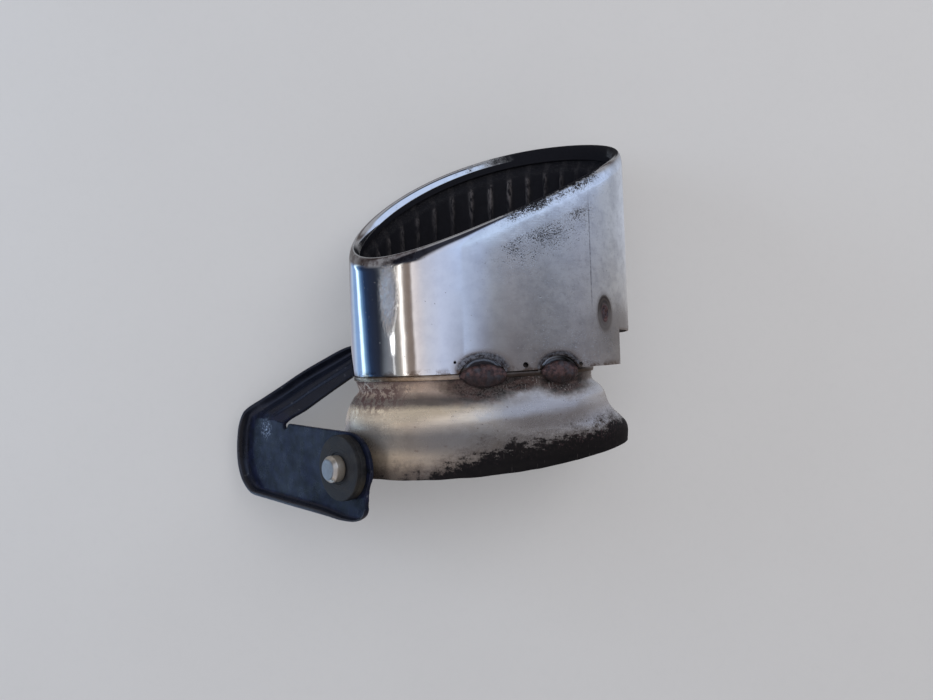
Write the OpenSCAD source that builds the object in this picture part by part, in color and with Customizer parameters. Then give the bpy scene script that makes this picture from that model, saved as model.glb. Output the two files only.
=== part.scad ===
// Oval slash-cut exhaust outlet: polished double-wall shell, inlet collar
// and a side hanger with a rubber-isolated locating pin.
// Millimetres. +Y is the gas flow direction, +X the long axis of the oval,
// +Z the short axis. The origin is the centre of the collar's inlet opening.
// Heights run along Y; front is the +Z side and rear the -Z side.

/* [Outer shell] */
// Width of the shell over its long axis
shell_w = 138; // [136:0.5:140]
// Depth of the shell over its short axis
shell_d = 88; // [87:0.5:89]
// Sheet thickness of the shell
shell_t = 1.4; // [1.2:0.1:1.6]
// Radial half width of the rolled rim
roll_w = 2.6; // [2.4:0.1:2.8]
// Depth of the rim's return into the outlet
rim_return = 8.6; // [8:0.1:9]
// Height of the shell at its centre, from base edge to rim crest
rim_mid = 91.26; // [88:0.5:94]
// Height of the clearance notch in the narrow end
notch_h = 16.8; // [14:0.2:17]
// Number of flat steps round the oval
steps = 96; // [72:12:120]

/* [Inner liner] */
// Number of stiffening ribs round the liner
ribs = 36; // [30:2:40]
// Height of one rib
rib_h = 1.8; // [1:0.1:2]
// Sheet thickness of the liner
liner_t = 1; // [0.8:0.1:1.1]

/* [Collar] */
// Height of the collar and its joint, from inlet to shell base
collar_h = 46; // [45:0.5:47]
// Sheet thickness of the collar
collar_t = 1.4; // [1.2:0.1:1.6]

/* [Hanger] */
// Sheet thickness of the hanger plate
plate_t = 2; // [1.8:0.1:2.1]
// Tilt of the hanger plate from the oval's long axis
plate_tilt = 45; // [44:0.5:46]

/* [Isolator and pin] */
// Diameter of the pin's free end
pin_d = 12; // [12:0.1:12.4]
// Length of the pin's free end in front of the rubber
pin_len = 5.6; // [5:0.2:8]
// Chamfer at the pin's tip
pin_chamfer = 1.5; // [1:0.1:1.8]
// Diameter of the pin's shank inside the sleeve
shank_d = 9; // [8:0.1:9.2]
// Radial running clearance of the shank in the sleeve
run_clear = 0.05; // [0.03:0.01:0.08]
// Diameter of the rubber's front flange
rubber_d = 30; // [28:0.5:30]
// Thickness of the rubber's front flange
rubber_t = 5; // [4:0.2:5]

/* [Hidden] */
$fn = 96;

half_w = shell_w / 2;
half_d = shell_d / 2;
shell_x = 3.5;            // the shell's axis stands off the inlet's centre
sheet_gap = 0.06;         // assembly gap between neighbouring sheets
support_y = 17.1;         // underside of the support plate above the shell's base
support_t = 1.3;
weld_color = [0.26, 0.20, 0.17];

// Weld places along the shell's base edge, used on both long sides:
// [x, scallop half width, scallop height, bead length]
weld_left = [-6, 10.2, 6.4, 21];
weld_right = [28.4, 9.2, 6, 18.6];

// ---------- general helpers ----------
function unit(v) = v / norm(v);
function lerp(from, to, part) = from + (to - from) * part;

// smooth curve through a table of [key, value]
function catmull_rom(before, start, end, after, part) =
    0.5 * (2 * start + (end - before) * part
           + (2 * before - 5 * start + 4 * end - after) * part * part
           + (3 * start - before - 3 * end + after) * part * part * part);
function span(key, table, i = 0) =
    (i >= len(table) - 2 || key < table[i + 1][0]) ? i : span(key, table, i + 1);
function curve(key, table) = let (
    i = span(key, table),
    last = len(table) - 1,
    part = (key - table[i][0]) / (table[i + 1][0] - table[i][0]))
    catmull_rom(table[max(i - 1, 0)][1], table[i][1], table[i + 1][1],
                table[min(i + 2, last)][1], part);

// skin over rings of equal, even size; looped joins the last ring to the first,
// otherwise each end is closed by a strip between the ring's two halves
module skin(rings, looped = false) {
    count = len(rings);
    size = len(rings[0]);
    sides = [for (i = [0:count - (looped ? 1 : 2)], j = [0:size - 1])
        let (next_i = (i + 1) % count, next_j = (j + 1) % size,
             a = i * size + j, b = i * size + next_j,
             c = next_i * size + next_j, d = next_i * size + j)
        each [[a, b, c], [a, c, d]]];
    end = (count - 1) * size;
    caps = looped ? [] : [for (k = [0:size / 2 - 2]) each [
        [size - 2 - k, k + 1, k], [size - 1 - k, size - 2 - k, k],
        [end + k, end + k + 1, end + size - 2 - k],
        [end + k, end + size - 2 - k, end + size - 1 - k]]];
    points = [for (ring = rings) each ring];
    faces = concat(sides, caps);
    // faces must run clockwise seen from outside, which makes this sum negative
    volumes = [for (f = faces) points[f[0]] * cross(points[f[1]], points[f[2]])];
    inverted = volumes * [for (v = volumes) 1] > 0;
    polyhedron(points = points,
               faces = inverted ? [for (f = faces) [f[2], f[1], f[0]]] : faces);
}

// everything above the inlet is laid out from the centre of the shell's base
module at_shell() { translate([shell_x, collar_h, 0]) children(); }

// ---------- oval ----------
// heights of the rim crest and the base edge over the oval
function crest(x, z) = rim_mid + 0.34001 * x - 0.62961 * z - 0.00087219 * x * x
                       + 0.001499 * x * z + 0.00021847 * z * z;
function base(x, z) = 0.0205 * x - 0.040 * z;
// crest height at an angle round the oval
function rim_y(angle) = let (p = oval(angle, roll_w)) crest(p[0], p[1]);
// [x, z] at an angle, and half depth at x, for an oval inset from the shell
function oval(angle, inset) = [(half_w - inset) * cos(angle), (half_d - inset) * sin(angle)];
function oval_z(x, inset = 0) =
    (half_d - inset) * sqrt(max(0, 1 - pow(x / (half_w - inset), 2)));

// ---------- shell ----------
roll_rise = 7;
// closed wall section: [inset, 1 from the crest or 0 from the base, rise]
shell_section = concat(
    [[0, 0, 0]],
    [for (k = [0:4]) [roll_w * (1 - cos(k * 22.5)), 1, roll_rise * (sin(k * 22.5) - 1)]],
    [[roll_w + 1.6, 1, -0.7], [2 * roll_w - 0.3, 1, -2.6], [2 * roll_w, 1, -5],
     [2 * roll_w + 0.1, 1, -rim_return], [2 * roll_w - 1.1, 1, -rim_return],
     [2 * roll_w - 1.2, 1, -4], [roll_w + 0.2, 1, -1.6], [shell_t, 1, -5],
     [shell_t, 1, -rim_return - 3], [shell_t, 0, 0]]);
// small holes in the front face: [x, y, z where the cut starts, diameter]
small_holes = [[-18, 3, 34, 1.3], [12.9, 1.0, 34, 2.4], [38.4, 0.9, 24, 1.8]];
hole_depth = 20;
slot_w = 1.4;             // slot from the middle hole down through the base edge
notch_x = 59.8;

function shell_point(angle, s) = let (p = oval(angle, s[0]))
    [p[0], (s[1] == 1 ? rim_y(angle) : base(p[0], p[1])) + s[2], p[1]];

// arched cut in the base edge; side is 1 for the front, -1 for the rear
module scallop(place, side) {
    half_width = place[1];
    height = place[2];
    radius = (half_width * half_width + height * height) / (2 * height);
    translate([place[0], base(place[0], side * 42) + height - radius, side * 40])
        cylinder(r = radius, h = 26, center = true);
}

module outer_shell() {
    color([0.80, 0.82, 0.86]) at_shell() difference() {
        skin([for (s = shell_section)
            [for (i = [0:steps - 1]) shell_point(-i * 360 / steps, s)]], true);
        for (side = [1, -1], place = [weld_left, weld_right]) scallop(place, side);
        for (h = small_holes)
            translate([h[0], h[1], h[2]]) cylinder(d = h[3], h = hole_depth);
        translate([small_holes[1][0] - slot_w / 2, -4, 34]) cube([slot_w, 5, hole_depth]);
        // clearance notch in the +X end
        translate([notch_x, -12, -30]) cube([30, notch_h + 12, 60]);
    }
}

// ---------- liner ----------
// the points of one rib pitch: share of the rib height, place in the pitch
rib_rise = [0, 0, 0.75, 1, 0.75];
rib_place = [0, 1.6, 2.2, 2.75, 3.3];
per_rib = len(rib_rise);
liner_n = ribs * per_rib;
liner_inset = 2 * roll_w + 0.5;
liner_y = 18.6;
// outer side from foot to mouth:
// [inset, 1 from the crest or 0 from the shell's base plane, rise, rib weight]
liner_side = [
    [liner_inset, 0, liner_y, 0], [liner_inset, 0, liner_y + 4, 0],
    [liner_inset, 0, liner_y + 8, 1],
    [liner_inset, 1, -rim_return - 9, 1], [liner_inset, 1, -rim_return - 5.5, 0],
    [shell_t + 1.2, 1, -rim_return - 2, 0], [shell_t + 1.2, 1, -rim_return + 3, 0]];

function liner_point(i, s) = let (
    k = i % per_rib,
    angle = -(i + 0.5 - k + rib_place[k]) * 360 / liner_n,
    p = oval(angle, s[0] + s[3] * rib_h * rib_rise[k]))
    [p[0], s[1] == 1 ? rim_y(angle) + s[2] : s[2], p[1]];

module inner_liner() {
    section = concat(liner_side,
        [for (k = [len(liner_side) - 1:-1:0]) liner_side[k] + [liner_t, 0, 0, 0]]);
    color([0.10, 0.10, 0.11]) at_shell()
        skin([for (s = section) [for (i = [0:liner_n - 1]) liner_point(i, s)]], true);
}

// ---------- support plate inside the shell ----------
support_rim_h = 14.5;
support_inset = shell_t + 0.1;

module support_plate() {
    module oval_face(inset) {
        polygon([for (i = [0:steps - 1]) oval(i * 360 / steps, inset)]);
    }
    module gas_opening() {
        polygon([for (i = [0:steps - 1])
            [-7 + 50 * cos(i * 360 / steps), 34.5 * sin(i * 360 / steps)]]);
    }
    color([0.30, 0.28, 0.27]) at_shell()
        translate([0, support_y, 0]) rotate([-90, 0, 0]) {
            linear_extrude(support_t) difference() {
                oval_face(support_inset);
                gas_opening();
            }
            linear_extrude(support_rim_h) difference() {
                oval_face(support_inset);
                oval_face(support_inset + support_t);
            }
        }
}

// short tack beads that hold the liner's foot to the support plate
tack_h = 1.8;
module liner_tack_welds() {
    color([0.24, 0.20, 0.18]) at_shell()
        for (angle = [35, 145, 215, 325]) {
            p = oval(angle, liner_inset - 0.9);
            translate([p[0], support_y + support_t + tack_h / 2, p[1]])
                rotate([-90, 0, 0]) cylinder(r = 1.3, h = tack_h, center = true);
        }
}

// ---------- neck outline and base ring ----------
// the neck follows the oval at -X and closes in a blunt cap towards +X
neck_inset = 1.2;
neck_end = 49.3;          // +X end of the neck
cap_x = 12;               // where the cap starts
cap_power = 3.5;          // bluntness of the cap
ring_drop = 2.5;          // reach of the base ring below the shell's base edge

function neck_right(inset) = neck_end - (inset - neck_inset);
// half depth of the neck at x
function neck_z(x, inset = neck_inset) = oval_z(x, inset)
    * pow(max(0, 1 - pow(max(0, (x - cap_x) / (neck_right(inset) - cap_x)), cap_power)),
          1 / cap_power);
function neck_point(angle, inset = neck_inset) = let (
    x = lerp(inset - half_w, neck_right(inset), (1 + cos(angle)) / 2))
    [x, sign(sin(angle)) * neck_z(x, inset)];

// closed section: [inset, 1 against the support plate or 0 from the base edge, rise]
ring_section = [[neck_inset, 0, -sheet_gap], [neck_inset, 0, -ring_drop],
                [4.4, 0, -ring_drop], [4.4, 1, -sheet_gap],
                [2.9, 1, -sheet_gap], [2.9, 0, -sheet_gap]];
module base_ring() {
    color([0.55, 0.47, 0.36]) at_shell()
        skin([for (s = ring_section) [for (i = [0:steps - 1])
            let (p = neck_point((i + 0.5) * 360 / steps, s[0]))
            [p[0], (s[1] == 1 ? support_y : base(p[0], p[1])) + s[2], p[1]]]], true);
}

// ---------- collar ----------
// [fraction from top to inlet, x of the -X end]
collar_left = [
    [0, -67.0], [0.06, -66.2], [0.11, -65.8], [0.19, -68.6], [0.27, -70.6], [0.36, -71.9],
    [0.46, -72.7], [0.56, -73.3], [0.76, -73.9], [1, -74]];
// [fraction, x of the +X end]
collar_right = [
    [0, 48.4], [0.06, 48.4], [0.12, 49.4], [0.19, 52.6], [0.27, 54.7], [0.36, 55.8],
    [0.46, 57.4], [0.56, 60.2], [0.66, 63.6], [0.76, 66.1], [0.86, 66.9], [1, 66.7]];
// [fraction, half depth]
collar_depth = [
    [0, 41.9], [0.06, 41.3], [0.12, 41.1], [0.19, 41.9], [0.27, 43.4], [0.36, 44.9],
    [0.44, 45.6], [0.54, 45.5], [0.7, 45.2], [1, 44.6]];
// fractions at which the skin has a ring
collar_rings = [0, 0.06, 0.12, 0.19, 0.27, 0.36, 0.44, 0.54, 0.65, 0.76, 0.88, 1];
collar_n = 84;

function inlet_y(x) = -collar_h + 0.0896 * x + 0.00091 * x * x;
// the plan goes from the neck's outline at the top to a plain oval at the inlet
function collar_point(angle, part, inset = 0) = let (
    x = lerp(curve(part, collar_left) + inset, curve(part, collar_right) - inset,
             (1 + cos(angle)) / 2),
    neck_share = neck_point(angle)[1] / (half_d - neck_inset),
    z = (curve(part, collar_depth) - inset)
        * lerp(sin(angle), neck_share, pow(1 - part, 1.5)),
    top = base(x, z) - ring_drop - sheet_gap)
    [x, lerp(top, inlet_y(x), part), z];
function collar_ring(part, inset) =
    [for (i = [0:collar_n - 1]) collar_point((i + 0.5) * 360 / collar_n, part, inset)];

module inlet_collar() {
    last = len(collar_rings) - 1;
    color([0.62, 0.58, 0.52]) at_shell()
        skin(concat([for (part = collar_rings) collar_ring(part, 0)],
                    [for (k = [last:-1:0]) collar_ring(collar_rings[k], collar_t)]), true);
}

// the collar's lengthwise seam bead on the rear side
module collar_seam_weld() {
    stations = 22;
    sides = 10;
    color([0.35, 0.30, 0.26]) at_shell()
        skin([for (i = [0:stations]) let (
            centre = collar_point(-96, 0.16 + 0.78 * i / stations),
            ripple = 1 + 0.12 * cos(i * 150))
            [for (j = [0:sides - 1]) let (angle = j * 360 / sides)
                centre + ripple * [1.7 * cos(angle), 0, 0.65 * sin(angle)]]]);
}

// ---------- shell welds ----------
// a rippled bead lying along X; half_h is along Y and half_t along Z
module bead(length, half_h, half_t, waves = 5, stations = 20) {
    sides = 14;
    skin([for (i = [0:stations]) let (
        part = i / stations,
        taper = sqrt(max(0.02, 1 - pow(2 * part - 1, 2))),
        ripple = 1 + 0.10 * cos(part * waves * 360))
        [for (j = [0:sides - 1]) let (angle = -j * 360 / sides)
            [length * (part - 0.5),
             half_h * taper * (0.93 + 0.07 * ripple) * cos(angle),
             half_t * pow(taper, 0.7) * ripple * sin(angle)]]]);
}

// bead in a scallop; side is 1 for the front, -1 for the rear
module edge_bead(place, side) {
    x = place[0];
    z = neck_z(x);
    slope = atan2(neck_z(x + 8) - neck_z(x - 8), 16);
    translate([x, base(x, z) - 1.2, side * (lerp(z, oval_z(x), 0.45) - 0.9)])
        rotate([0, -side * slope, 0]) bead(place[3], 5, 2.6);
}
module weld_bead_left() { color(weld_color) at_shell() edge_bead(weld_left, 1); }
module weld_bead_right() { color(weld_color) at_shell() edge_bead(weld_right, 1); }
module rear_weld_beads() {
    color(weld_color) at_shell() {
        edge_bead(weld_left, -1);
        edge_bead(weld_right, -1);
    }
}

// oval plug welds through the shell into the support plate's rim
module plug_welds() {
    x = 51.7;
    z = oval_z(x);
    slope = atan2(half_d * half_d * x, half_w * half_w * z);
    color([0.30, 0.22, 0.17]) at_shell() for (side = [1, -1])
        translate([x, 23.9, side * (z - 0.3)]) rotate([0, side * slope, 0])
            rotate([0, 0, 90]) bead(10, 2.6, 1, waves = 2, stations = 14);
}

// ---------- hanger plate ----------
// isolator's centre on the plate's front face, from the shell's base centre
hub = [-68.69, -42.9, 26.42];
hub_across = [cos(plate_tilt), 0, sin(plate_tilt)];
hub_normal = [-sin(plate_tilt), 0, cos(plate_tilt)];
hole_r = 9.5;             // isolator hole
module at_hub() { at_shell() translate(hub) rotate([0, -plate_tilt, 0]) children(); }

function arc(centre, radius, start, end, n) = [for (i = [0:n])
    let (angle = lerp(start, end, i / n)) centre + radius * [cos(angle), sin(angle)]];
// fold line of the rolled flange, from the free corner round to the arm:
// [across, along Y] from the hub
fold = [
    [13.2, -17.2], [12.5, -19.2], [11, -20.5], [8.6, -21.3], [4.9, -21.6], [-2, -21],
    [-10, -19.6], [-20, -18.2], [-41, -17.3], [-61.6, -16.3], [-72, -15.8], [-77, -15.4],
    [-80.2, -14.3], [-83.2, -12.4], [-85.9, -10], [-87.8, -7], [-89.3, -2.9], [-89.9, 2.8],
    [-89.5, 8], [-88.3, 13.8], [-85.9, 18.3]];
plate_outline = concat(
    // rounded end about the isolator
    arc([1.2, -0.1], 16.1, 90, 0, 10),
    [[17.2, -2.4], [16.5, -4.8], [14.9, -7.6], [14.1, -9.8], [13.5, -14]],
    fold,
    // the first point here is where the fold line leaves the plate
    [[-82.7, 21.05], [-62, 20.0], [-54.2, 18.9]],
    // round notch in the upper edge
    arc([-52, 17.4], 1.8, 160, 340, 7),
    [[-49.6, 18.0], [-48.6, 18.35], [-38, 17.8], [-17, 16.8]]);
module hanger_plate() {
    translate([0, 0, -plate_t]) linear_extrude(plate_t) polygon(plate_outline);
}

// ---------- hanger arm ----------
// stations from the bend to the foot: [foot of the flange, lower edge]
arm_stations = [
    [[-127.2, -21.85, -32.1], [-107.0, -24.2, -11.9]],
    [[-119.0, -17.2, -29.0], [-103.2, -21.2, -13.4]],
    [[-108.6, -10.7, -29.7], [-96.6, -17.5, -15.6]],
    [[-98.5, -4.0, -31.1], [-89.4, -12.4, -17.8]],
    [[-86.5, 2.7, -31.4], [-81.6, -7.0, -20.2]],
    [[-74.9, 9.2, -30.9], [-73.4, -1.6, -22.4]],
    [[-66.4, 14.9, -27.9], [-66.3, 2.6, -23.0]],
    [[-60.4, 21.0, -24.9], [-60.2, 5.6, -24.0]]];
arm_last = len(arm_stations) - 1;
// section with its stiffening ridge: [position from flange to lower edge, height]
arm_section = [[0, 0], [0.14, 0], [0.22, 1.1], [0.48, 1.1], [0.57, 0], [0.8, 0], [1, 0]];

function arm_normal(i) = let (
    here = arm_stations[i],
    before = arm_stations[max(i - 1, 0)],
    after = arm_stations[min(i + 1, arm_last)])
    unit(cross(after[0] + after[1] - before[0] - before[1], here[0] - here[1]));
// the ridge fades out at both ends of the arm
function ridge_scale(i) = i == 0 || i == arm_last ? 0.05 : 1;
function arm_point(i, s, offset) =
    lerp(arm_stations[i][0], arm_stations[i][1], s[0])
    + arm_normal(i) * (s[1] * ridge_scale(i) + offset);
module hanger_arm() {
    skin([for (i = [0:arm_last]) concat(
        [for (s = arm_section) arm_point(i, s, 0)],
        [for (k = [len(arm_section) - 1:-1:0]) arm_point(i, arm_section[k], -plate_t)])]);
}

// ---------- hanger flange ----------
// section of the rolled edge: [outward from the fold, along the surface normal];
// negative heights are for a 2 mm plate and follow its thickness
flange_section = [
    for (s = [[-0.4, -0.07], [0.9, 0.22], [1.7, 1.0], [2.1, 2.2], [2.2, 4.6], [2.9, 5.1],
              [4.0, 4.8], [4.1, 3.2], [4.1, 1.6], [3.4, -0.5], [1.9, -1.66], [-0.4, -1.93]])
    [s[0], s[1] < 0 ? s[1] * plate_t / 2 : s[1]]];
// the flange grows from the free corner and shrinks again towards the foot
fold_sizes = [0.3, 0.36, 0.42, 0.48, 0.55, 0.7, 0.85];
arm_sizes = [1, 1, 1, 1, 1, 0.9, 0.3];
// [point, surface normal, size]
flange_path = concat(
    [for (i = [0:len(fold) - 1])
        [hub + hub_across * fold[i][0] + [0, fold[i][1], 0], hub_normal,
         i < len(fold_sizes) ? fold_sizes[i] : 1]],
    [for (i = [0:len(arm_sizes) - 1])
        [arm_stations[i][0], i == 0 ? unit(hub_normal + arm_normal(0)) : arm_normal(i),
         arm_sizes[i]]]);
flange_last = len(flange_path) - 1;

function grown(value, size) = value * (value > 0 ? size : 1);
function flange_point(i, s) = let (
    here = flange_path[i],
    along = unit(flange_path[min(i + 1, flange_last)][0] - flange_path[max(i - 1, 0)][0]),
    outward = unit(cross(here[1], along)))
    here[0] + outward * grown(s[0], here[2]) + here[1] * grown(s[1], here[2]);
module hanger_flange() {
    skin([for (i = [0:flange_last]) [for (s = flange_section) flange_point(i, s)]]);
}

// ---------- hanger foot, bracket and welds ----------
foot_x = [-63, -60, -56, -52, -48, -44, -40];
foot_bottom = 5;
foot_top = 27.5;
foot_bulge = 1.5;
foot_gap = 0.16;
// z on the shell's rear side, a distance out from its surface
function rear_z(x, out) = -oval_z(x, -out);
module hanger_foot() {
    first = foot_x[0];
    length = foot_x[len(foot_x) - 1] - first;
    inner = foot_gap;
    outer = foot_gap + plate_t;
    skin([for (x = foot_x) let (
        bulge = foot_bulge * sin((x - first) / length * 180),
        low = foot_bottom - bulge,
        high = foot_top + bulge)
        [[x, low, rear_z(x, inner)], [x, high, rear_z(x, inner)],
         [x, high, rear_z(x, outer)], [x, low, rear_z(x, outer)]]]);
}

module hanger_bracket() {
    color([0.07, 0.08, 0.11]) difference() {
        union() {
            at_hub() hanger_plate();
            at_shell() {
                hanger_flange();
                hanger_arm();
                hanger_foot();
            }
        }
        at_hub() translate([0, 0, -8]) cylinder(r = hole_r, h = 16);
    }
}

// beads along the foot's lower and upper edges
module hanger_welds() {
    color([0.20, 0.17, 0.16]) at_shell()
        for (y = [4.2, 29.6])
            skin([for (i = [0:16]) let (
                x = -60 + i * 1.1,
                ripple = 1 + 0.12 * cos(i * 130),
                taper = sqrt(max(0.05, 1 - pow(i / 8 - 1, 4))))
                [for (j = [0:7]) let (angle = -j * 45)
                    [x, y + 1.9 * taper * ripple * cos(angle),
                     rear_z(x, 0.4) + 1.3 * taper * ripple * sin(angle)]]]);
}

// ---------- isolator and pin, along the hub's normal ----------
pin_r = pin_d / 2;
shank_r = shank_d / 2;
sleeve_r = shank_r + 0.8;
rubber_r = rubber_d / 2;
rubber_bore = sleeve_r + 0.03;
rubber_fit = 0.04;        // gap between rubber and plate faces
axial_gap = 0.05;         // gap between stacked parts
washer_t = 0.8;
rubber_back = -plate_t - 1.35;
washer_back = rubber_back - axial_gap - washer_t;
head_front = washer_back - axial_gap;
head_back = head_front - 0.7;
head_r = shank_r + 1.9;

module rubber_isolator() {
    color([0.13, 0.12, 0.11]) at_hub() rotate_extrude() polygon([
        [rubber_bore, rubber_back], [13, rubber_back], [13.3, -plate_t - 0.9],
        [13, -plate_t - rubber_fit], [hole_r - 0.1, -plate_t - rubber_fit],
        [hole_r - 0.1, rubber_fit], [rubber_r - 0.4, rubber_fit],
        [rubber_r, 0.6], [rubber_r, rubber_t - 1.3],
        [rubber_r - 0.5, rubber_t - 0.4], [rubber_r - 1.4, rubber_t],
        [pin_r + 1.2, rubber_t], [pin_r + 1.2, rubber_t - 0.4],
        [rubber_bore, rubber_t - 0.4]]);
}
module isolator_sleeve() {
    color([0.45, 0.44, 0.42]) at_hub() difference() {
        translate([0, 0, rubber_back]) cylinder(r = sleeve_r, h = rubber_t - rubber_back);
        translate([0, 0, -plate_t - 5]) cylinder(r = shank_r + run_clear, h = rubber_t + 12);
    }
}
module rear_washer() {
    color([0.50, 0.49, 0.46]) at_hub() translate([0, 0, washer_back]) difference() {
        cylinder(r = 11.5, h = washer_t);
        translate([0, 0, -1]) cylinder(r = shank_r + run_clear, h = 3);
    }
}
module locating_pin() {
    tip = rubber_t + pin_len;
    color([0.72, 0.68, 0.60]) at_hub() rotate_extrude() polygon([
        [0, head_back], [head_r - 0.5, head_back],
        [head_r, head_back + 0.35], [head_r, head_front],
        [shank_r, head_front], [shank_r, rubber_t + axial_gap],
        [pin_r, rubber_t + axial_gap], [pin_r, tip - pin_chamfer],
        [pin_r - pin_chamfer, tip], [0, tip]]);
}

outer_shell();
inner_liner();
support_plate();
liner_tack_welds();
base_ring();
inlet_collar();
collar_seam_weld();
weld_bead_left();
weld_bead_right();
rear_weld_beads();
plug_welds();
hanger_bracket();
hanger_welds();
rubber_isolator();
isolator_sleeve();
rear_washer();
locating_pin();
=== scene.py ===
"""Oval chromed trim with a sooted liner, a welded inlet collar and a hanger bracket.

Lengths are millimetres in the shell frame unless said otherwise: X runs along the long axis
of the oval, Y from the inlet (-Y) to the rim (+Y), and Z is depth. The trim lies on its
rear side, so its front (+Z) faces up to the camera and the hanger is at the rear left.
"""
import math
from functools import reduce

import bmesh
import bpy
import numpy as np
from mathutils import Matrix, Vector


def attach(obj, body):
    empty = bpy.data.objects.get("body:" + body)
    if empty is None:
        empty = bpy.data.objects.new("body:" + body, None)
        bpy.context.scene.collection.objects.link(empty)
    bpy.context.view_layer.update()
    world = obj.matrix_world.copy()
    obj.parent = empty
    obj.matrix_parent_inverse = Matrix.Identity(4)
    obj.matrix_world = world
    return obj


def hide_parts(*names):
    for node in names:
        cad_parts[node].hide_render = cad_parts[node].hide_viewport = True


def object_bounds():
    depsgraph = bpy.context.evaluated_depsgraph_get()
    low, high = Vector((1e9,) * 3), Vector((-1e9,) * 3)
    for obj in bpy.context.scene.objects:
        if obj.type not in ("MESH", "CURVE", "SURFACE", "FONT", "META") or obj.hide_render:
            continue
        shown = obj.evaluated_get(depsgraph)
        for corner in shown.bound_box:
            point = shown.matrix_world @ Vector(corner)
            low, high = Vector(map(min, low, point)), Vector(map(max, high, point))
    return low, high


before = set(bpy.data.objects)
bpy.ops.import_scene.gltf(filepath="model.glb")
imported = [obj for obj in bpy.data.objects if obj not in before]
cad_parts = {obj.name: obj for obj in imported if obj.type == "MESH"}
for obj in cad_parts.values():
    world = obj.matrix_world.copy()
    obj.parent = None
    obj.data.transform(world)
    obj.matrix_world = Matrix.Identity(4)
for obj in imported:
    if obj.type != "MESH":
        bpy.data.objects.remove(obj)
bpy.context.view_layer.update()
MM = 0.001                                      # metres in a millimetre
SHELL_ORIGIN = np.array([3.5, 46.0, 0.0])       # centre of the shell's base in the scene
BODY = "trim_body"
PIN = "pin"

HALF_X, HALF_Z = 69.0, 44.0     # half axes of the shell's oval
SHEET = 1.4                     # shell wall thickness
RIM = 2.6                       # half the width of the rolled rim
PLATE_Y = 17.1                  # support plate
END_X, END_Y = 59.8, 16.8       # right of END_X the shell stops at height END_Y
WELD_X = (-6.0, 28.4)           # left and right weld beads, centred under the scallops
PLUG_X, PLUG_Y = 51.7, 23.9     # plug welds


# --------------------------------------------------------------------------
# Shared curves and noise
# --------------------------------------------------------------------------
def crest(x, z):
    """Height of the rim's crest."""
    return (91.26 + 0.34001 * x - 0.62961 * z - 0.00087219 * x * x
            + 0.001499 * x * z + 0.00021847 * z * z)


def base(x, z):
    """Height of the sloping base plane."""
    return 0.0205 * x - 0.040 * z


def wall_z(x, outset=0.0):
    """Depth of the oval wall at x."""
    return (HALF_Z + outset) * math.sqrt(1 - (x / (HALF_X + outset)) ** 2)


def spline(t, table):
    """Catmull-Rom curve through (key, value) pairs; a value may be a point."""
    keys = np.array([entry[0] for entry in table], float)
    values = np.array([entry[1] for entry in table], float)
    t = np.asarray(t, float)
    i = np.clip(np.searchsorted(keys, t, side="right") - 1, 0, len(keys) - 2)
    f = (t - keys[i]) / (keys[i + 1] - keys[i])
    a, b = values[np.maximum(i - 1, 0)], values[i]
    c, d = values[i + 1], values[np.minimum(i + 2, len(keys) - 1)]
    if values.ndim == 2:
        f = f[..., None]
    return 0.5 * (2 * b + (c - a) * f + (2 * a - 5 * b + 4 * c - d) * f * f
                  + (3 * b - a - 3 * c + d) * f ** 3)


def smooth(low, high, x):
    t = np.clip((np.asarray(x, float) - low) / (high - low), 0, 1)
    return t * t * (3 - 2 * t)


def value_noise(points, size, seed):
    """Repeatable smooth noise on points (n, 3), about -1 to 1."""
    place = np.asarray(points, float) / size
    cell = np.floor(place).astype(np.int64)
    part = place - cell
    part = part * part * (3 - 2 * part)
    total = np.zeros(len(place))
    for corner in np.ndindex(2, 2, 2):
        mixed = (cell + corner) * np.array([374761393, 668265263, 2147483647])
        key = (mixed.sum(axis=1) + seed * 1274126177) & 0xFFFFFFFF
        key = ((key ^ (key >> 13)) * 1274126177) & 0xFFFFFFFF
        key = (key ^ (key >> 16)) & 0xFFFFFFFF
        weight = np.where(corner, part, 1 - part).prod(axis=1)
        total += weight * (key / 2147483647.5 - 1)
    return total


def fbm(points, size, seed, octaves=3):
    """Layers of noise, each half the size and strength of the one before."""
    total, weight, weights = 0, 1.0, 0
    for k in range(octaves):
        total = total + weight * value_noise(points, size / 2 ** k, seed + 17 * k)
        weights += weight
        weight *= 0.5
    return total / weights


def circle_angles(count):
    return np.arange(count) * 2 * math.pi / count


def turn_y(angle):
    c, s = math.cos(angle), math.sin(angle)
    return np.array([[c, 0, s], [0, 1, 0], [-s, 0, c]])


def unit(vectors):
    vectors = np.asarray(vectors, float)
    return vectors / np.linalg.norm(vectors, axis=-1, keepdims=True)


# --------------------------------------------------------------------------
# Mesh helpers
# --------------------------------------------------------------------------
def set_sharp(mesh, degrees):
    mesh.shade_smooth()
    if degrees:
        mesh.set_sharp_from_angle(angle=math.radians(degrees))


def add_object(name, data):
    obj = bpy.data.objects.new(name, data)
    bpy.context.scene.collection.objects.link(obj)
    return obj


def make(name, verts, faces, sharp=38.0, attrs=None):
    """Object from shell-frame points; edges steeper than sharp degrees stay crisp."""
    mesh = bpy.data.meshes.new(name)
    mesh.from_pydata(((np.asarray(verts, float) + SHELL_ORIGIN) * MM).tolist(), [], faces)
    mesh.validate()
    mesh.update()
    for key, values in (attrs or {}).items():
        attribute = mesh.attributes.new(key, "FLOAT", "POINT")
        attribute.data.foreach_set("value", np.asarray(values, np.float32))
    set_sharp(mesh, sharp)
    return add_object(name, mesh)


def volume(verts, faces):
    """Six times the signed volume."""
    total = 0.0
    for face in faces:
        for k in range(1, len(face) - 1):
            total += np.dot(verts[face[0]], np.cross(verts[face[k]], verts[face[k + 1]]))
    return total


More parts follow.
